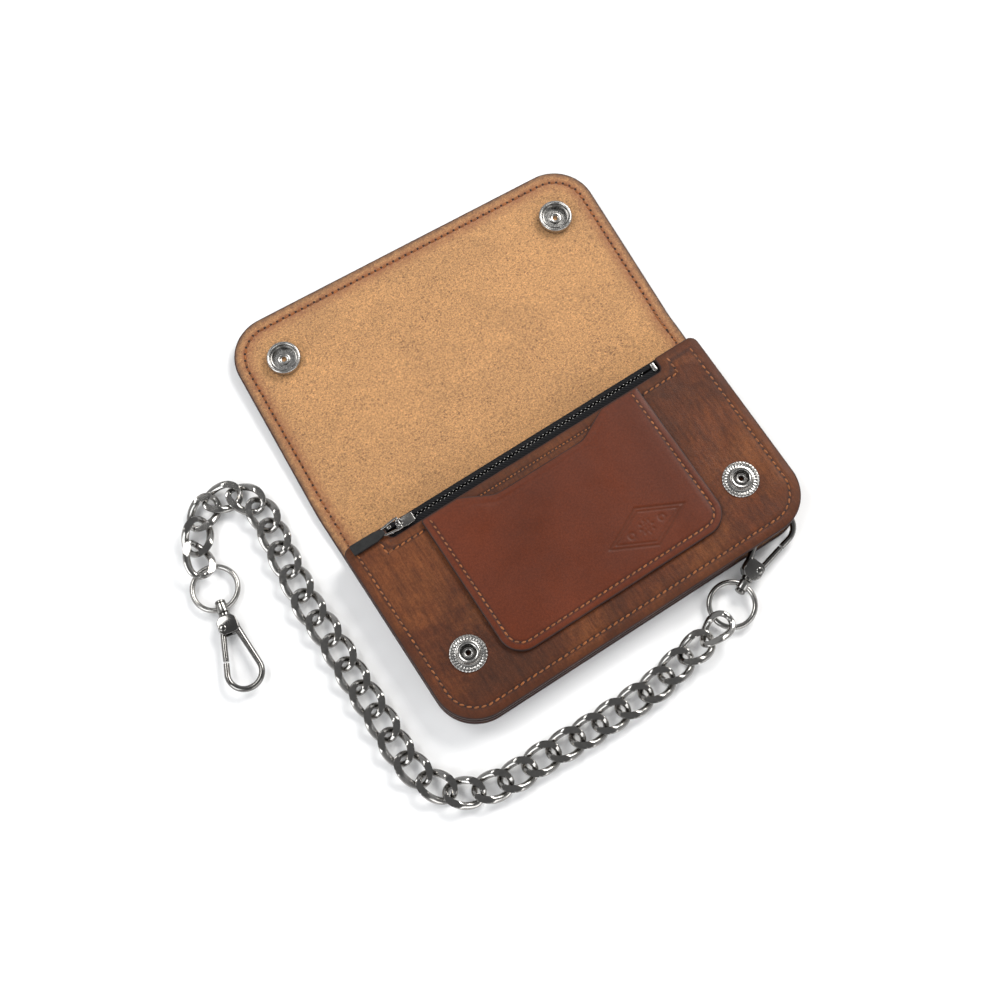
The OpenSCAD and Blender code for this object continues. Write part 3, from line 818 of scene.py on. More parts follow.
class WALLET_OT_outer_leather(bpy.types.Operator):
    """The one outer leather: back panel, spine and flap, split at the middle of the spine"""
    bl_idname = "wallet.outer_leather"
    bl_label = "Outer Leather"

    def execute(self, context):
        look = context.scene.wallet_leather
        split = FOLD_1.y + SPINE / 2
        skins = [material(suede_leather), material(edge_leather), material(waxed_leather)]
        groove = groove_steps(look.seam_inset, 0.28 * MM)
        far = FOLD_1.y + SPINE + FLAP_END
        whole = [(-HALF_W, -TOP_Y, CORNER), (HALF_W, -TOP_Y, CORNER),
                 (HALF_W - FLAP_NARROWER, far, CORNER), (-HALF_W + FLAP_NARROWER, far, CORNER)]
        outline = corner_path(whole)
        for name, keep, bodies, fold, replaces in (
                ("back_leather", -1, ("wallet", "spine"), 0, ("back_panel",)),
                ("flap_leather", 1, ("spine", "flap"), SPINE, ("spine", "flap"))):
            bm = leather_slab(whole, 0, LEATHER, look.edge_round, groove, both=True)
            geom = bm.verts[:] + bm.edges[:] + bm.faces[:]
            bmesh.ops.bisect_plane(bm, geom=geom, plane_co=(0, split, 0), plane_no=(0, -keep, 0),
                                   clear_outer=True, dist=1e-7)
            rows = steps(-TOP_Y, far, 2.2 * MM)
            rows += steps(FOLD_1.y - 6 * MM, FOLD_1.y + SPINE + 8 * MM, 0.9 * MM)
            rows = [y for y in rows if keep * (y - split) > 0.2 * MM]
            cut_grid(bm, steps(-HALF_W, HALF_W, 3.5 * MM), rows)
            obj = piece(bm, name, None, skins, replaces, rim=outline)

            def settle(p, rim):
                v = p.y - FOLD_1.y
                if v <= 0:
                    return p
                return bend(p.x, v, p.z - LEATHER / 2 + flap_ripple(p.x, v, rim))

            reshape(obj, settle)
            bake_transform(obj)
        return {"FINISHED"}


class WALLET_OT_inner_layers(bpy.types.Operator):
    """Front panel, divider and the welts between the layers"""
    bl_idname = "wallet.inner_layers"
    bl_label = "Inner Layers"

    def execute(self, context):
        look = context.scene.wallet_leather
        outline = corner_path(front_corners())
        bm = leather_slab(front_corners(), FRONT_LOW.z, FRONT_HIGH.z, look.edge_round,
                          groove_steps(look.seam_inset, 0.25 * MM),
                          stop_y=TOP_Y - look.seam_inset - 1 * MM)
        cut_grid(bm, steps(-HALF_W, HALF_W, 2.6 * MM), steps(-TOP_Y, TOP_Y, 2.6 * MM))
        obj = piece(bm, "front_leather", "wallet", leather_set(),
                    ("front_panel",), rim=outline)
        reshape(obj, lambda p, rim: Vector((p.x, p.y, p.z + front_rise(p.x, p.y, rim))))

        top = DIVIDER_HIGH.y
        cut = [(-HALF_W, -TOP_Y, CORNER), (BAY_X, -TOP_Y, 2 * MM), (BAY_X, BAY_Y, 3 * MM),
               (HALF_W, BAY_Y, 1 * MM), (HALF_W, top, 1 * MM), (-HALF_W, top, 1 * MM)]
        outline = corner_path(cut)
        bm = leather_slab(cut, DIVIDER_LOW.z, DIVIDER_HIGH.z, look.edge_round)
        cut_grid(bm, steps(-HALF_W, HALF_W, 8 * MM), steps(-TOP_Y, top, 8 * MM))
        piece(bm, "divider_leather", "wallet", leather_set(),
              ("divider",), rim=outline)
        for node, bay in (("rear_welt", 40 * MM), ("front_welt", 38 * MM)):
            low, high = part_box(node)
            side, inner = high.x, high.x - 6 * MM
            foot, rise = low.y, low.y + 6 * MM
            round_out, round_in = CORNER - 0.8 * MM, CORNER - 6.8 * MM
            left = [(-side, high.y, 0), (-side, foot, round_out), (bay, foot, 0), (bay, rise, 0),
                    (-inner, rise, round_in), (-inner, high.y, 0)]
            right = [(inner, high.y, 0), (inner, BAY_Y, 0), (side, BAY_Y, 0), (side, high.y, 0)]
            bm = bmesh.new()
            for strip in (left, right):
                join(bm, leather_slab(strip, low.z, high.z, 0.25 * MM))
            bmesh.ops.recalc_face_normals(bm, faces=bm.faces)
            piece(bm, node + "_leather", "wallet",
                  [material(edge_leather)], (node,), rim=corner_path(left))
        return {"FINISHED"}


def pocket_corners():
    """The card pocket, with a thumb notch in its top edge."""
    half = POCKET_HIGH.x
    high, low = POCKET_HIGH.y, POCKET_LOW.y
    deep = high - 7 * MM
    return [(half, high, 1.2 * MM), (34.5 * MM, high, 3 * MM), (21 * MM, deep, 9 * MM),
            (-21 * MM, deep, 9 * MM), (-34.5 * MM, high, 3 * MM), (-half, high, 1.2 * MM),
            (-half, low, 10 * MM), (half, low, 10 * MM)]


def u_path(side, low, radius, high):
    """An open path down one side, round two low corners and up the other side."""
    path = [Vector((-side, high))]
    path += [p.to_2d() for p in arc((-side + radius, low + radius), radius, 180, 270, 14)]
    path += [p.to_2d() for p in arc((side - radius, low + radius), radius, 270, 360, 14)]
    return path + [Vector((side, high))]


def pocket_seam():
    """The path of the card pocket's seam."""
    return u_path(POCKET_HIGH.x - POCKET_SEAM, POCKET_LOW.y + POCKET_SEAM, 6.6 * MM,
                  POCKET_HIGH.y - 1.5 * MM)


# the blind-embossed lozenge: its centre on the pocket, its half length and half height
LOZENGE = (22 * MM, -14 * MM)
LOZENGE_HALF = (19 * MM, 9.5 * MM)
EMBOSS = 0.38 * MM


def emboss_depth(x, y):
    """How far the lozenge's two lines, its flower and its two rings are pressed in, 0 to 1."""
    x, y = x - LOZENGE[0], y - LOZENGE[1]
    edge = (1 - abs(x) / LOZENGE_HALF[0] - abs(y) / LOZENGE_HALF[1]) * LOZENGE_HALF[1]
    petals = 2.9 * MM * (0.62 + 0.38 * math.cos(8 * math.atan2(abs(y), abs(x))))
    # the distance from each line, the line's half width and its strength
    lines = [(edge - 0.6 * MM, 0.42 * MM, 1), (edge - 2.2 * MM, 0.35 * MM, 0.75),
             (math.hypot(x, y) - petals, 0.45 * MM, 0.8)]
    lines += [(math.hypot(x - at * MM, y) - 1.3 * MM, 0.4 * MM, 0.7) for at in (-7.2, 7.2)]
    return min(1, sum(k * math.exp(-(away / width) ** 2) for away, width, k in lines))


class WALLET_OT_card_pocket(bpy.types.Operator):
    """The stitched card pocket with its thumb notch and a blind-embossed lozenge"""
    bl_idname = "wallet.card_pocket"
    bl_label = "Card Pocket"

    def execute(self, context):
        cut = pocket_corners()
        bm = leather_slab(cut, POCKET_LOW.z, POCKET_HIGH.z, 0.55 * MM,
                          groove_steps(POCKET_SEAM, 0.22 * MM, 0.65 * MM),
                          stop_y=POCKET_HIGH.y - 3.6 * MM)
        rows = []
        for low, high, mid, half in zip(POCKET_LOW, POCKET_HIGH, LOZENGE, LOZENGE_HALF):
            reach = half + 2 * MM  # close rows run this far to each side of the lozenge
            wide = [at for at in steps(low, high, 3 * MM) if abs(at - mid) > reach]
            rows.append(wide + steps(mid - reach, mid + reach, 0.42 * MM))
        cut_grid(bm, *rows)
        obj = piece(bm, "card_pocket_leather", "wallet",
                    [material(pocket_leather), material(edge_leather), material(pocket_leather)],
                    ("card_pocket",), rim=corner_path(cut))
        # closeness to the seam, which the pocket leather turns into painted groove shade
        places = np.array([v.co[:2] for v in obj.data.vertices])
        away = outline_distance(places, pocket_seam(), closed=False) / MM
        seam = obj.data.attributes.new("seam", "FLOAT", "POINT")
        seam.data.foreach_set("value", np.maximum(0, SEAM_REACH - away).astype(np.float32))
        sunk = obj.data.attributes.new("emboss", "FLOAT", "POINT")
        for i, v in enumerate(obj.data.vertices):
            if v.co.z > POCKET_HIGH.z - 0.05 * MM:
                depth = emboss_depth(v.co.x, v.co.y)
                sunk.data[i].value = depth
                v.co.z -= EMBOSS * depth

        def crown(p, rim):
            """Fuller towards its middle above, and thinner at its rim."""
            full = min(1, rim / 9) * (p.z > POCKET_LOW.z + MM) * math.cos(p.x / (60 * MM))
            return p + Vector((0, 0, 0.28 * MM * full - 0.10 * MM * max(0, 1 - rim / 3)))

        reshape(obj, crown)
        return {"FINISHED"}


# ---- stitching ----


def stitch_rows(bm, path, pitch, width, seat, length=0.80):
    """Lens-shaped stitches, a little slanted and each a little different, each with a flat dark
    ellipsoid of painted shade at its hole.

    seat(point) gives the place of a stitch on its leather, level with its surface."""
    part = bmesh.new()
    for i, (point, ahead) in enumerate(along(path, pitch)):
        turn = math.atan2(ahead.y, ahead.x) + math.radians(11 + random.uniform(-5, 5))
        here = seat(point) @ Matrix.Rotation(turn, 4, "Z")
        half = pitch * length / 2 * random.uniform(0.92, 1.04)
        size = (half, width / 2 * random.uniform(0.92, 1.08), width * 0.46)
        bmesh.ops.create_uvsphere(
            part, u_segments=8, v_segments=6, radius=1,
            matrix=here @ Matrix.Diagonal((*size, 1)) @ Matrix.Rotation(math.pi / 2, 4, "Y"))
        # a flat dark ellipsoid of painted shade where the stitch's hole lies in shadow
        hole = Matrix.Translation((pitch / 2, 0, 0))
        made = bmesh.ops.create_uvsphere(
            part, u_segments=8, v_segments=4, radius=1,
            matrix=here @ hole @ Matrix.Diagonal((width * 0.58, width * 0.52, 0.26 * MM, 1)))
        for f in faces_of(made["verts"]):
            f.material_index = 1
        if i % 20 == 19:
            join(bm, part)
            part = bmesh.new()
    join(bm, part)


def on_outer_leather(z, rim):
    """Seats stitches on the outer leather at a height z from its middle."""

    def seat(point):
        v = point.y - FOLD_1.y
        height = z + flap_ripple(point.x, v, rim / MM)
        ahead = 0.1 * MM
        here = bend(point.x, v, height)
        x_axis = (bend(point.x + ahead, v, height) - here).normalized()
        up = x_axis.cross(bend(point.x, v + ahead, height) - here).normalized()
        basis = Matrix((x_axis, up.cross(x_axis), up)).transposed().to_4x4()
        return Matrix.Translation(here) @ basis

    return seat


class WALLET_OT_stitching(bpy.types.Operator):
    """Rust thread round the front panel, the zip opening, the card pocket and the flap"""
    bl_idname = "wallet.stitching"
    bl_label = "Stitching"

    def execute(self, context):
        thread = context.scene.wallet_thread
        leather = context.scene.wallet_leather
        pitch, width = thread.pitch, thread.width
        inset = leather.seam_inset
        random.seed(11)
        outline = corner_path(front_corners())

        def on_front(point):
            rim = outline_distance(np.array([point[:]]), outline)[0] / MM
            rise = front_rise(point.x, point.y, rim) - 0.22 * MM
            return Matrix.Translation((point.x, point.y, FRONT_HIGH.z + rise))

        def on_pocket(point):
            return Matrix.Translation((point.x, point.y, POCKET_HIGH.z - 0.18 * MM))

        def sew(name, body, replaces, *rows):
            """Makes one piece from rows of (path, pitch, width, seat, length of a stitch)."""
            bm = bmesh.new()
            for row in rows:
                stitch_rows(bm, *row)
            return piece(bm, name, body,
                         [material(thread_fibre), material(painted_hole_shade)], replaces)

        # sides and low edge of the front panel
        radius = CORNER - inset
        path = u_path(HALF_W - inset, -TOP_Y + inset, radius, TOP_Y - 4 * MM)
        sew("front_stitches", "wallet", ("front_seam",), (path, pitch, width, on_front))

        # round the zip opening, with the run along its foot partly under the card pocket
        ear = NOTCH_X + inset
        foot = NOTCH_Y - inset
        rows = []
        for s in (-1, 1):
            run = [Vector((s * ear, TOP_Y - 2.5 * MM)), Vector((s * ear, foot)),
                   Vector((s * (POCKET_HIGH.x + 0.8 * MM), foot))]
            rows.append((run, pitch, width, on_front))
        run = [Vector((-28.5 * MM, foot)), Vector((31 * MM, foot))]
        sew("zip_stitches", "wallet", ("zip_seam",), *rows,
            (run, pitch * 0.62, width * 0.8, on_front, 0.72))

        sew("pocket_stitches", "wallet", ("pocket_seam",),
            (pocket_seam(), pitch * 0.94, width * 0.95, on_pocket))

        # back face of the front seam, running on over the spine, where it shows on both faces
        split = FOLD_1.y + SPINE / 2
        face = LEATHER / 2 - 0.20 * MM
        side = HALF_W - inset
        path = u_path(side, -TOP_Y + inset, radius, split - 0.4 * MM)
        rows = [(path, pitch, width, on_outer_leather(-face, inset))]
        for s in (-1, 1):
            path = [Vector((s * side, FOLD_1.y - 1 * MM)), Vector((s * side, split - 0.4 * MM))]
            rows.append((path, pitch, width, on_outer_leather(face, inset)))
        obj = sew("back_stitches", None, (), *rows)
        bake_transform(obj)

        # flap, on both faces, from the middle of the spine round the free edge
        end = FOLD_1.y + SPINE + FLAP_END - inset
        side = HALF_W - FLAP_NARROWER - inset
        path = [Vector((p.x, -p.y)) for p in u_path(side, -end, radius, -split - 0.8 * MM)]
        obj = sew("flap_stitches", None, ("flap_seam",),
                  *((path, pitch, width * 1.25, on_outer_leather(z, inset))
                    for z in (-face, face)))
        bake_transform(obj)
        return {"FINISHED"}


# ---- zip ----

TOOTH_PITCH = 0.94 * MM
TOOTH_HALF = 0.26 * MM
TOOTH_NEAR, TOOTH_FAR = 0.13 * MM, 0.72 * MM  # a tooth's ends, from the zip's middle line
PULL_PIVOT = Vector(JOINTS["pull_swing"]["pos_m"])


def tape(node, profile):
    """A tape of one profile (y in metres, z in mm) all along the zip."""
    low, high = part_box(node)
    bm = bmesh.new()
    face = bm.faces.new([bm.verts.new((low.x, y, z * MM)) for y, z in profile])
    extrude(bm, face, (high.x - low.x, 0, 0))
    cut_grid(bm, steps(low.x, high.x, 6 * MM), ())
    piece(bm, node + "_cloth", "wallet", [material(zip_tape)], (node,), smooth=50)


def tapes():
    """Each tape lies flat on its welt, then rises to the roll that grips its teeth."""
    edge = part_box("zip_tape_front")[0].y
    tape("zip_tape_front", [
        (edge, 9.5), (edge, 9.9), (38.6 * MM, 9.9), (39.3 * MM, 10.0), (40.0 * MM, 10.2),
        (40.55 * MM, 10.25), (40.8 * MM, 10.05), (40.85 * MM, 9.75), (40.5 * MM, 9.5),
        (39.8 * MM, 9.45), (39.3 * MM, 9.5)])
    low, high = (corner.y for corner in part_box("zip_tape_rear"))
    tape("zip_tape_rear", [
        (low, 7.0), (low, 7.4), (43.5 * MM, 7.4), (43.5 * MM, 9.5), (42.3 * MM, 9.45),
        (41.9 * MM, 9.6), (41.75 * MM, 9.85), (41.9 * MM, 10.1), (42.4 * MM, 10.2),
        (43.4 * MM, 10.05), (high - 0.1 * MM, 9.8), (high, 9.4), (high, 7.0)])


def teeth_and_stops():
    """Teeth whose heads reach the middle line by turns from each tape, and their stops."""
    low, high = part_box("zip_teeth_front")
    rows = {"zip_teeth_front": bmesh.new(), "zip_teeth_rear": bmesh.new()}
    for i in range(int((high.x - low.x) / TOOTH_PITCH)):
        node, side = (("zip_teeth_front", -1), ("zip_teeth_rear", 1))[i % 2]
        x = low.x + TOOTH_PITCH * (i + 0.5)
        y0, y1 = sorted((ZIP_Y + side * TOOTH_NEAR, ZIP_Y + side * TOOTH_FAR))
        block(rows[node], (x - TOOTH_HALF, y0, TEETH_Z - 0.62 * MM),
              (x + TOOTH_HALF, y1, TEETH_Z + 0.36 * MM), 0.16 * MM)
    for node, bm in rows.items():
        piece(bm, node + "_row", "wallet",
              [material(nickel_plate, "zip_teeth", 0.55, 0.3)], (node,))
    metal = [material(nickel_plate, "zip_metal", 1.1, 0.25)]
    low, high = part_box("zip_top_stops")
    bm = bmesh.new()
    for a, b in ((low.y, low.y + 1.3 * MM), (high.y - 1.3 * MM, high.y)):
        block(bm, (low.x, a, low.z), (high.x, b, high.z), 0.35 * MM, segments=3)
    piece(bm, "zip_top_stops_metal", "wallet", metal, ("zip_top_stops",))
    bm = bmesh.new()
    block(bm, *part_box("zip_bottom_stop"), 0.4 * MM, segments=3)
    piece(bm, "zip_bottom_stop_metal", "wallet", metal, ("zip_bottom_stop",))


def slider():
    """Two shield-shaped plates on a thin post, with two lugs that hold the bail."""
    low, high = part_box("zip_slider")
    mid = (low + high) / 2
    top = high.z - 2.0 * MM
    half_l, half_y = (high.x - low.x) / 2, (high.y - low.y) / 2
    right = [(mid.x - half_l, -half_y * 0.72, 0.9 * MM), (mid.x + half_l * 0.2, -half_y, 1.2 * MM),
             (mid.x + half_l, -half_y * 0.9, 0.8 * MM)]
    left = [(x, -y, r) for x, y, r in reversed(right)]
    shield = [(x, mid.y + y, r) for x, y, r in right + left]
    bm = bmesh.new()
    for a, b in ((low.z, low.z + 0.9 * MM), (top - 0.9 * MM, top)):
        join(bm, leather_slab(shield, a, b, 0.25 * MM))
    block(bm, (low.x + 0.1 * MM, ZIP_Y - 0.1 * MM, low.z + 0.3 * MM),
          (low.x + 3 * MM, ZIP_Y + 0.1 * MM, top - 0.3 * MM), 0.05 * MM)
    x, y, z = PULL_PIVOT
    for s in (-1, 1):
        block(bm, (x - 1.2 * MM, y + s * 1.1 * MM - 0.4 * MM, top - 0.1 * MM),
              (x + 1.2 * MM, y + s * 1.1 * MM + 0.4 * MM, z + 0.75 * MM), 0.3 * MM, segments=3)
    piece(bm, "zip_slider_metal", "slider", [material(nickel_plate)], ("zip_slider",))


def bail():
    """A bent wire loop on a pin through the slider's lugs."""
    reach = PULL_PIVOT.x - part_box("zip_bail")[0].x
    half = 2.25 * MM
    loop = [Vector((0.2 * MM, half, 0)), Vector((-reach * 0.25, half, 0)),
            Vector((-reach * 0.55, half * 0.82, 0))]
    loop += arc((-reach + 1.6 * MM, 0), 1.6 * MM, 100, 260, 12)
    loop += [Vector((p.x, -p.y, 0)) for p in reversed(loop[:3])]
    pin = [Vector((0, half + 0.3 * MM, 0)), Vector((0, -half - 0.3 * MM, 0))]
    bm = bmesh.new()
    wire(bm, loop, 0.5 * MM, Matrix.Translation(PULL_PIVOT))
    wire(bm, pin, 0.45 * MM, Matrix.Translation(PULL_PIVOT))
    piece(bm, "zip_bail_wire", "pull", [material(nickel_plate)], ("zip_bail",))


def pull_tab():
    """The folded leatherette tab, pinched where it goes round the bail."""
    low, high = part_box("zip_pull_tab")
    tab = [(low.x, low.y + 0.1 * MM, 0.5 * MM), (high.x - 4 * MM, low.y + 0.2 * MM, 2 * MM),
           (high.x, low.y + 1.3 * MM, 0.6 * MM), (high.x, high.y - 1.3 * MM, 0.6 * MM),
           (high.x - 4 * MM, high.y - 0.2 * MM, 2 * MM), (low.x, high.y - 0.1 * MM, 0.5 * MM)]
    bm = leather_slab(tab, low.z, high.z, 0.35 * MM)
    cut_grid(bm, steps(low.x, high.x, 1 * MM), steps(low.y, high.y, 1 * MM))
    obj = piece(bm, "zip_pull_tab_leather", "pull",
                [material(pull_leather)], ("zip_pull_tab",))
    centre = (low.z + high.z) / 2

    def pinch(p, rim):
        t = (p.x - low.x) / (high.x - low.x)
        thick = 0.72 + 0.28 * math.sin(math.pi * min(1, t * 1.3)) if t < 0.75 else 1
        return Vector((p.x, p.y, centre + (p.z - centre) * thick))

    reshape(obj, pinch)


class WALLET_OT_zip(bpy.types.Operator):
    """Woven tapes, interlocked metal teeth, stops, slider, wire bail and pull tab"""
    bl_idname = "wallet.zip"
    bl_label = "Zip"

    def execute(self, context):
        for make in (tapes, teeth_and_stops, slider, bail, pull_tab):
            make()
        return {"FINISHED"}


# ---- snaps ----

# profiles of (radius, height) in mm, heights from the leather that a part sits on
STUD_FLANGE = [
    (2.85, 0.0), (7.1, 0.0), (7.45, 0.15), (7.5, 0.42), (7.25, 0.72), (6.9, 0.80), (6.1, 0.72),
    (5.5, 0.62), (5.1, 0.72), (4.85, 1.0), (4.62, 1.35), (4.42, 1.9), (4.52, 2.4), (4.6, 2.68),
    (4.5, 2.9), (4.25, 3.0), (3.7, 2.96), (3.3, 2.75), (3.05, 2.3), (2.85, 1.5), (2.85, 0.0)]
STUD_POST = [(0.75, -2.7), (1.75, -2.7), (1.75, 1.8), (2.0, 2.05), (2.05, 2.2), (1.9, 2.32),
             (1.5, 2.3), (1.15, 2.1), (0.95, 1.7), (0.75, 0.8), (0.75, -2.7)]
POST_COLLAR = [(1.7, 0), (2.75, 0), (2.75, 0.5), (1.7, 0.75), (1.7, 0)]
POST_FOOT = [(0, -2.7), (5, -2.7), (5, -2.3), (1.7, -2.05), (0, -2.0)]
SOCKET_CUP = [
    (1.9, 0.05), (2.2, 0.55), (3.4, 0.62), (4.6, 0.5), (5.35, 0.6), (5.6, 1.0), (5.6, 2.4),
    (5.72, 3.05), (6.0, 3.4), (6.35, 3.5), (6.75, 3.36), (7.0, 3.0), (7.15, 2.2), (7.2, 1.0),
    (7.05, 0.3), (6.8, 0.02), (1.9, 0.05)]
OUTSIDE = -LEATHER / MM  # the grain side of the flap, seen from its flesh side
SNAP_CAP = [
    (0, OUTSIDE - 1.8), (2.5, OUTSIDE - 1.78), (4.6, OUTSIDE - 1.6), (6.3, OUTSIDE - 1.15),
    (7.15, OUTSIDE - 0.6), (7.4, OUTSIDE - 0.2), (7.25, OUTSIDE - 0.02), (6.8, OUTSIDE + 0.02),
    (1.7, OUTSIDE + 0.02), (1.7, 0.75), (2.35, 0.8), (2.4, 0.98), (2.1, 1.1), (1.5, 1.08),
    (1.1, 0.9), (0.9, 0.4), (0.8, -0.6), (0, -0.7)]
SERRATIONS = 32
SERRATION_DEPTH = 0.30 * MM


def serrate(verts):
    """Presses radial notches into the flange of a stud."""
    for v in verts:
        if 5.6 * MM < math.hypot(v.co.x, v.co.y) < 7.3 * MM and v.co.z > 0.5 * MM:
            around = math.atan2(v.co.y, v.co.x) * SERRATIONS / (2 * math.pi)
            if abs(around - round(around)) > 0.26:
                v.co.z -= SERRATION_DEPTH


class WALLET_OT_snaps(bpy.types.Operator):
    """Serrated studs with rolled posts, and the sockets with springs and domed caps"""
    bl_idname = "wallet.snaps"
    bl_label = "Snaps"

    def execute(self, context):
        nickel = [material(nickel_plate, "snap_nickel", 1.22, 0.24, 0.12)]
        for side, s in (("left", -1), ("right", 1)):
            low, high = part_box("stud_" + side)
            mid = (low + high) / 2
            at = Matrix.Translation((mid.x, mid.y, low.z))
            bm = bmesh.new()
            serrate(lathe(bm, STUD_FLANGE, segments=128))
            bmesh.ops.transform(bm, matrix=at, verts=bm.verts)
            piece(bm, "stud_%s_metal" % side, "wallet", nickel, ("stud_" + side,),
                  smooth=32)
            bm = bmesh.new()
            for profile in (STUD_POST, POST_COLLAR, POST_FOOT):
                lathe(bm, profile, at, 40)
            piece(bm, "stud_post_%s_metal" % side, "wallet",
                  [material(nickel_plate, "brassy_post", 0.8, 0.28)], ("stud_post_" + side,))

            at = FLAP @ Matrix.Translation((s * SNAP_X, SNAP_V, LEATHER / 2))
            bm = bmesh.new()
            lathe(bm, SOCKET_CUP, at, 72)
            piece(bm, "socket_%s_metal" % side, "flap", nickel, ("socket_" + side,))
            bm = bmesh.new()
            for half in (-1, 1):
                turn = arc((0, 0), 5.15 * MM, 90 + half * 12, 90 + half * 168, 30)
                wire(bm, turn, 0.35 * MM, at @ Matrix.Translation((0, 0, 2.4 * MM)), sides=8)
            piece(bm, "socket_spring_%s_wire" % side, "flap",
                  [material(nickel_plate, "spring_wire", 0.8, 0.3)], ("socket_spring_" + side,))
            bm = bmesh.new()
            lathe(bm, SNAP_CAP, at, 64)
            piece(bm, "snap_cap_%s_metal" % side, "flap", nickel, ("snap_cap_" + side,))
        return {"FINISHED"}


# ---- chain ----

ROUTE = [(22.5, -62.5), (12, -64), (1.5, -65.5), (-9, -67.5), (-20, -68), (-31, -68),
         (-41.5, -68), (-52, -67.5), (-63, -67), (-74, -67), (-84.5, -65.5), (-95, -61.5),
         (-102.5, -53.5), (-106.5, -43), (-107.5, -32), (-107, -21), (-107, -10), (-107, 1),
         (-106.5, 12), (-106.5, 23.5), (-107, 34), (-106, 45), (-105, 56), (-103.5, 66.5),
         (-102.5, 77), (-105, 86.5), (-113, 92), (-122.5, 90.5), (-129.5, 83), (-134, 74.5)]
# a link: half its length and width, its twist's height and its wire's radius
LINK_A, LINK_B, LINK_C, LINK_R = 7.4 * MM, 4.9 * MM, 1.8 * MM, 1.25 * MM
LINK_Z = LINK_C + LINK_R + 0.15 * MM
# the links near each end lie on the rings: their tilt, their rise in mm and their turn
END_TILT = {0: 30, 1: 10, len(ROUTE) - 2: -10, len(ROUTE) - 1: -30}
END_RAISE = {0: 3, 1: 1.4, len(ROUTE) - 2: 0.7, len(ROUTE) - 1: 2}
END_TURN = {0: 10, len(ROUTE) - 1: 20}


def link_place(i):
    """Where link i of the chain lies: its centre, heading and tilt."""
    a, b = ROUTE[max(i - 1, 0)], ROUTE[min(i + 1, len(ROUTE) - 1)]
    turn = math.atan2(b[1] - a[1], b[0] - a[0]) + math.radians(END_TURN.get(i, 0))
    place = Vector((ROUTE[i][0] * MM, ROUTE[i][1] * MM, LINK_Z + END_RAISE.get(i, 0) * MM))
    return (Matrix.Translation(place) @ Matrix.Rotation(turn, 4, "Z")
            @ Matrix.Rotation(math.radians(END_TILT.get(i, 0)), 4, "X"))


class WALLET_OT_chain(bpy.types.Operator):
    """The curb chain: twisted links with filed facets, lying in its loose curve"""
    bl_idname = "wallet.chain"
    bl_label = "Chain"

    def execute(self, context):
        look = context.scene.wallet_metal
        link = bmesh.new()
        ring = bmesh.ops.create_circle(
            link, cap_ends=False, segments=14, radius=LINK_R,
            matrix=Matrix.Translation((1, 0, 0)) @ Matrix.Rotation(math.pi / 2, 4, "X"))["verts"]
        bmesh.ops.spin(link, geom=ring + edges_of(ring), axis=(0, 0, 1), cent=(0, 0, 0),
                       dvec=(0, 0, 0), angle=2 * math.pi, steps=look.link_steps, use_merge=True)
        bmesh.ops.remove_doubles(link, verts=link.verts, dist=1e-7)
        facet = LINK_C + LINK_R * look.facet

        def curb(t):
            return Vector((LINK_A * math.cos(t), LINK_B * math.sin(t), LINK_C * math.sin(2 * t)))

        for v in link.verts:
            t = math.atan2(v.co.y, v.co.x)
            out, up = math.hypot(v.co.x, v.co.y) - 1, v.co.z
            ahead = (curb(t + 0.01) - curb(t - 0.01)).normalized()
            side = ahead.cross(Vector((0, 0, 1))).normalized()
            wide = 1 + (0.34 if out > 0 else 0.20) * math.sin(t) ** 2
            v.co = curb(t) + side * out * wide + side.cross(ahead).normalized() * up
            v.co.z = max(-facet, min(facet, v.co.z))
        bmesh.ops.recalc_face_normals(link, faces=link.faces)
        holder = bpy.data.meshes.new("link")
        link.to_mesh(holder)
        link.free()
        bm = bmesh.new()
        for i in range(len(ROUTE)):
            known = len(bm.verts)
            bm.from_mesh(holder)
            bm.verts.ensure_lookup_table()
            bmesh.ops.transform(bm, matrix=link_place(i), verts=bm.verts[known:])
        bpy.data.meshes.remove(holder)
        piece(bm, "curb_chain", "wallet",
              [material(nickel_plate, "chain_nickel", 0.98, 0.16, 0.35)],
              ("chain_right", "chain_middle", "chain_left"), smooth=24)
        return {"FINISHED"}


# ---- rings and clips ----


def clip_frame(side):
    """The clip's own frame: the ring's centre, the clip along X, its loop in the XY plane."""
    if side == "left":
        joint = JOINTS["free_clip_swivel"]
        ahead = Vector(joint["axis"])
        up = Vector(JOINTS["free_gate_swing"]["axis"])
        centre = Vector(joint["pos_m"]) - ahead * 9 * MM
    else:
        up = Vector(JOINTS["wallet_gate_swing"]["axis"])
        ahead = Matrix.Rotation(math.radians(25.8), 3, "Z") @ (
            Matrix.Rotation(math.radians(-4.3), 3, "Y") @ Vector((1, 0, 0)))
        pivot = Vector(JOINTS["wallet_gate_swing"]["pos_m"])
        across = up.cross(ahead)
        centre = pivot - ahead * CLIP_BASE + across * CLIP_SIDE
    across = up.cross(ahead)
    return Matrix.Translation(centre) @ Matrix((ahead, across, up)).transposed().to_4x4()


# profiles of (radius, height) and outlines of (x, y, corner radius), all in mm, measured
# along the clip from its ring's centre
RING = [(9.15 + 1.1 * math.cos(math.radians(a)), 1.1 * math.sin(math.radians(a)))
        for a in range(0, 361, 24)]
RING_BOSS = [(1.3, 7.0), (2.1, 7.0), (2.35, 7.2), (2.4, 7.6), (2.4, 10.3), (2.35, 10.7),
             (2.1, 10.9), (1.3, 10.9), (1.3, 7.0)]
SWIVEL_POST = [(0, 5.25), (1.0, 5.3), (1.7, 5.55), (2.1, 5.95), (2.1, 6.6), (1.9, 6.8),
               (1.2, 6.8), (1.2, 11.2), (2.0, 11.2), (2.3, 11.45), (2.3, 12.4), (2.1, 12.6),
               (0, 12.6)]
CHEEK = [(12.6, -2.4, 1.2), (14.5, -4.0, 1.6), (18.6, -4.0, 1.2), (20.2, -2.9, 0.8),
         (20.2, 3.3, 1.0), (18.6, 4.0, 1.4), (14.5, 4.0, 1.6), (12.6, 2.4, 1.2)]
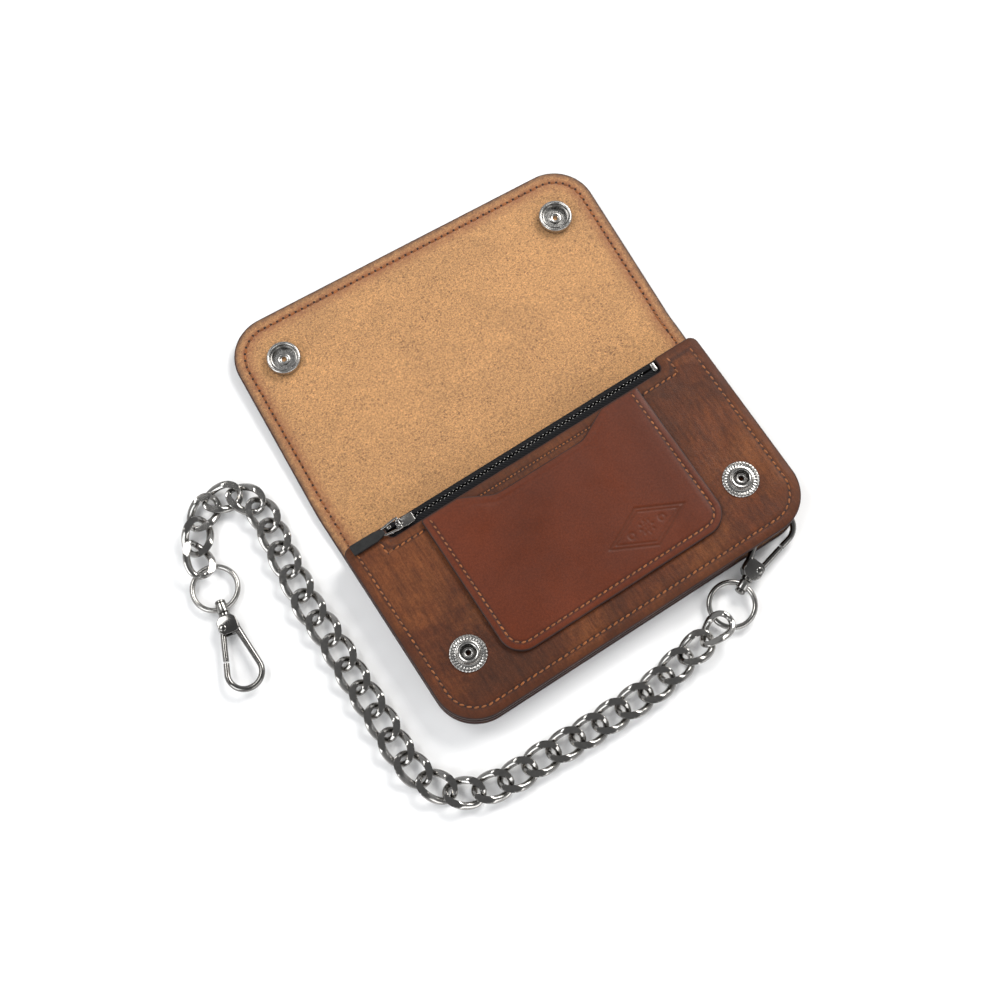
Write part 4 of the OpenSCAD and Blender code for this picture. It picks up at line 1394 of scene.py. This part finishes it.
CORE = [(12.6, -2.2, 0.8), (14.7, -3.2, 0.4), (14.7, 0.3, 0.4), (20.4, 0.3, 0.8),
        (20.4, 3.4, 1.0), (18.6, 4.0, 1.4), (14.5, 4.0, 1.6), (12.6, 2.3, 0.8)]
# the gate's own parts, measured from its pin
KNUCKLE = [(0.85, -1.4), (1.8, -1.4), (2.0, -1.2), (2.0, 0.3), (1.8, 0.5), (0.85, 0.5),
           (0.85, -1.4)]
GATE_BAR = ((1.3, -0.62), (4, -1.3), (8, -2.2), (11.5, -2.95), (12.9, -3.25))
GATE_PIN = [(0, -2.52), (0.6, -2.5), (0.8, -2.42), (0.8, 2.38), (1.5, 2.38), (1.5, 2.52),
            (1.3, 2.72), (0.9, 2.86), (0, 2.92)]
COILS = [[(1.25 + 0.22 * math.cos(math.radians(a)), z + 0.22 * math.sin(math.radians(a)))
          for a in range(0, 361, 45)] for z in (0.82, 1.27)]


def clip_body(bm, place):
    """Two cheeks over a core, one long arm, the round end and the nose."""
    for shape, z0, z1, edge in ((CHEEK, 1.55, 2.4, 0.3), (CHEEK, -2.4, -1.55, 0.3),
                                (CORE, -1.7, 1.7, 0.05)):
        cut = [(x * MM, y * MM, r * MM) for x, y, r in shape]
        slab = leather_slab(cut, z0 * MM, z1 * MM, edge * MM)
        bmesh.ops.transform(slab, matrix=place, verts=slab.verts)
        join(bm, slab)
    bow = arc((36.75 * MM, 0), 6.85 * MM, 102.6, -102.6, 36)
    nose = spots((30.9, -5.62))[0]
    run = spots((17.0, 2.75), (20, 3.3), (27, 4.87)) + bow
    run += [bow[-1] + (nose - bow[-1]) * t for t in (0.5, 1.0)]
    radii = [1.5 * MM, 1.45 * MM, 1.3 * MM] + [1.25 * MM] * len(bow) + [1.25 * MM, 1.2 * MM]
    wire(bm, run, radii, place, sides=16, flat=0.96)


class WALLET_OT_clips(bpy.types.Operator):
    """Swivel rings, swivel posts and trigger clips with sprung gates, at both ends"""
    bl_idname = "wallet.clips"
    bl_label = "Rings and Clips"

    def execute(self, context):
        nickel = [material(nickel_plate, "clip_nickel", 0.62, 0.13, 0.2)]
        along_x = Matrix.Rotation(math.pi / 2, 4, "Y")
        for side, body, gate_body in (("left", "free_clip", "free_gate"),
                                      ("right", "wallet", "wallet_gate")):
            place = clip_frame(side)
            flat = place
            if side == "right":  # its ring lies level, though the clip is tilted
                ahead = place.col[0].to_3d()
                across = Vector((0, 0, 1)).cross(ahead).normalized()
                basis = Matrix((ahead, across, ahead.cross(across))).transposed().to_4x4()
                flat = Matrix.Translation(place.translation) @ basis
            bm = bmesh.new()
            lathe(bm, RING, flat, 80)
            lathe(bm, RING_BOSS, flat @ along_x, 40)
            piece(bm, "ring_%s_metal" % side, "wallet", [material(nickel_plate)],
                  ("ring_" + side,))
            bm = bmesh.new()
            lathe(bm, SWIVEL_POST, place @ along_x, 40)
            piece(bm, "post_%s_metal" % side, body, nickel, ("post_" + side,))
            bm = bmesh.new()
            clip_body(bm, place)
            piece(bm, "clip_%s_metal" % side, body, nickel, ("clip_" + side,))

            # gate: a knuckle on the pin and a bar that reaches the nose
            bm = bmesh.new()
            pivot = place @ Matrix.Translation((CLIP_BASE, -CLIP_SIDE, 0))
            lathe(bm, KNUCKLE, pivot, 32)
            radii = [1.15 * MM, 1.2 * MM, 1.2 * MM, 1.2 * MM, 1.15 * MM]
            wire(bm, spots(*GATE_BAR), radii, pivot, sides=16)
            piece(bm, "gate_%s_metal" % side, gate_body, nickel, ("gate_" + side,))
            bm = bmesh.new()
            lathe(bm, GATE_PIN, pivot, 24)
            piece(bm, "gate_pin_%s_metal" % side, body, nickel, ("gate_pin_" + side,))
            bm = bmesh.new()
            for coil in COILS:
                lathe(bm, coil, pivot, 24)
            piece(bm, "gate_spring_%s_wire" % side, body,
                  [material(nickel_plate, "spring_wire", 0.8, 0.3)], ("gate_spring_" + side,))
        places = [link_place(i) for i in range(len(ROUTE))]
        path = [places[0] @ Vector((-LINK_A, 0, 0))]
        path += [place.translation for place in places]
        path += [places[-1] @ Vector((LINK_A, 0, 0))]
        ends = ["%s_%s_metal" % (part, side) for side in ("left", "right")
                for part in ("ring", "post", "clip", "gate", "gate_pin")]
        ends += ["gate_spring_left_wire", "gate_spring_right_wire"]
        return {"FINISHED"}


# ---- anchor ----


class WALLET_OT_anchor(bpy.types.Operator):
    """The D-ring, its folded leather tab and the rivet that holds the tab"""
    bl_idname = "wallet.anchor"
    bl_label = "D-ring and Tab"

    def execute(self, context):
        metal = [material(nickel_plate)]
        for node, name, slot, skin in (
                ("chain_tab", "chain_tab_leather", "pocket_leather", [material(pocket_leather)]),
                ("d_ring", "d_ring_metal", "nickel", metal),
                ("tab_rivet", "tab_rivet_metal", "nickel", metal)):
            bm = bmesh.new()
            bm.from_mesh(frame["nodes"][node].data)
            bmesh.ops.remove_doubles(bm, verts=bm.verts, dist=1e-6)
            if node == "chain_tab":
                bmesh.ops.dissolve_limit(bm, angle_limit=0.03, verts=bm.verts, edges=bm.edges)
                sharp = [e for e in bm.edges
                         if len(e.link_faces) == 2 and e.calc_face_angle(0) > 1.0]
                bmesh.ops.bevel(bm, geom=sharp, offset=0.22 * MM, offset_type="OFFSET",
                                segments=2, profile=0.5, affect="EDGES", clamp_overlap=True,
                                material=-1)
            piece(bm, name, "wallet", skin, (node,))
        return {"FINISHED"}


# ---- add-on ----


class WALLET_PT_panel(bpy.types.Panel):
    """Builds the wallet piece by piece"""
    bl_idname = "WALLET_PT_panel"
    bl_label = "Chain Wallet"
    bl_space_type = "VIEW_3D"
    bl_region_type = "UI"
    bl_category = "Chain Wallet"

    def draw(self, context):
        layout = self.layout
        for group in ("wallet_leather", "wallet_thread", "wallet_metal"):
            settings = getattr(context.scene, group)
            box = layout.box()
            for name in settings.bl_rna.properties.keys():
                if name not in ("rna_type", "name"):
                    box.prop(settings, name)
        for operator in OPERATORS:
            layout.operator(operator.bl_idname)


OPERATORS = (WALLET_OT_stage, WALLET_OT_chain, WALLET_OT_clips, WALLET_OT_outer_leather,
             WALLET_OT_inner_layers, WALLET_OT_card_pocket, WALLET_OT_stitching, WALLET_OT_zip,
             WALLET_OT_snaps, WALLET_OT_anchor)
GROUPS = {"wallet_leather": LeatherLook, "wallet_thread": ThreadLook, "wallet_metal": MetalLook}


def register():
    for cls in (*GROUPS.values(), *OPERATORS, WALLET_PT_panel):
        bpy.utils.register_class(cls)
    for name, group in GROUPS.items():
        setattr(bpy.types.Scene, name, PointerProperty(type=group))


def unregister():
    for name in GROUPS:
        delattr(bpy.types.Scene, name)
    for cls in (WALLET_PT_panel, *reversed(OPERATORS), *GROUPS.values()):
        bpy.utils.unregister_class(cls)


def main():
    register()
    for operator in OPERATORS:
        group, name = operator.bl_idname.split(".")
        getattr(getattr(bpy.ops, group), name)()


if __name__ == "__main__":
    main()
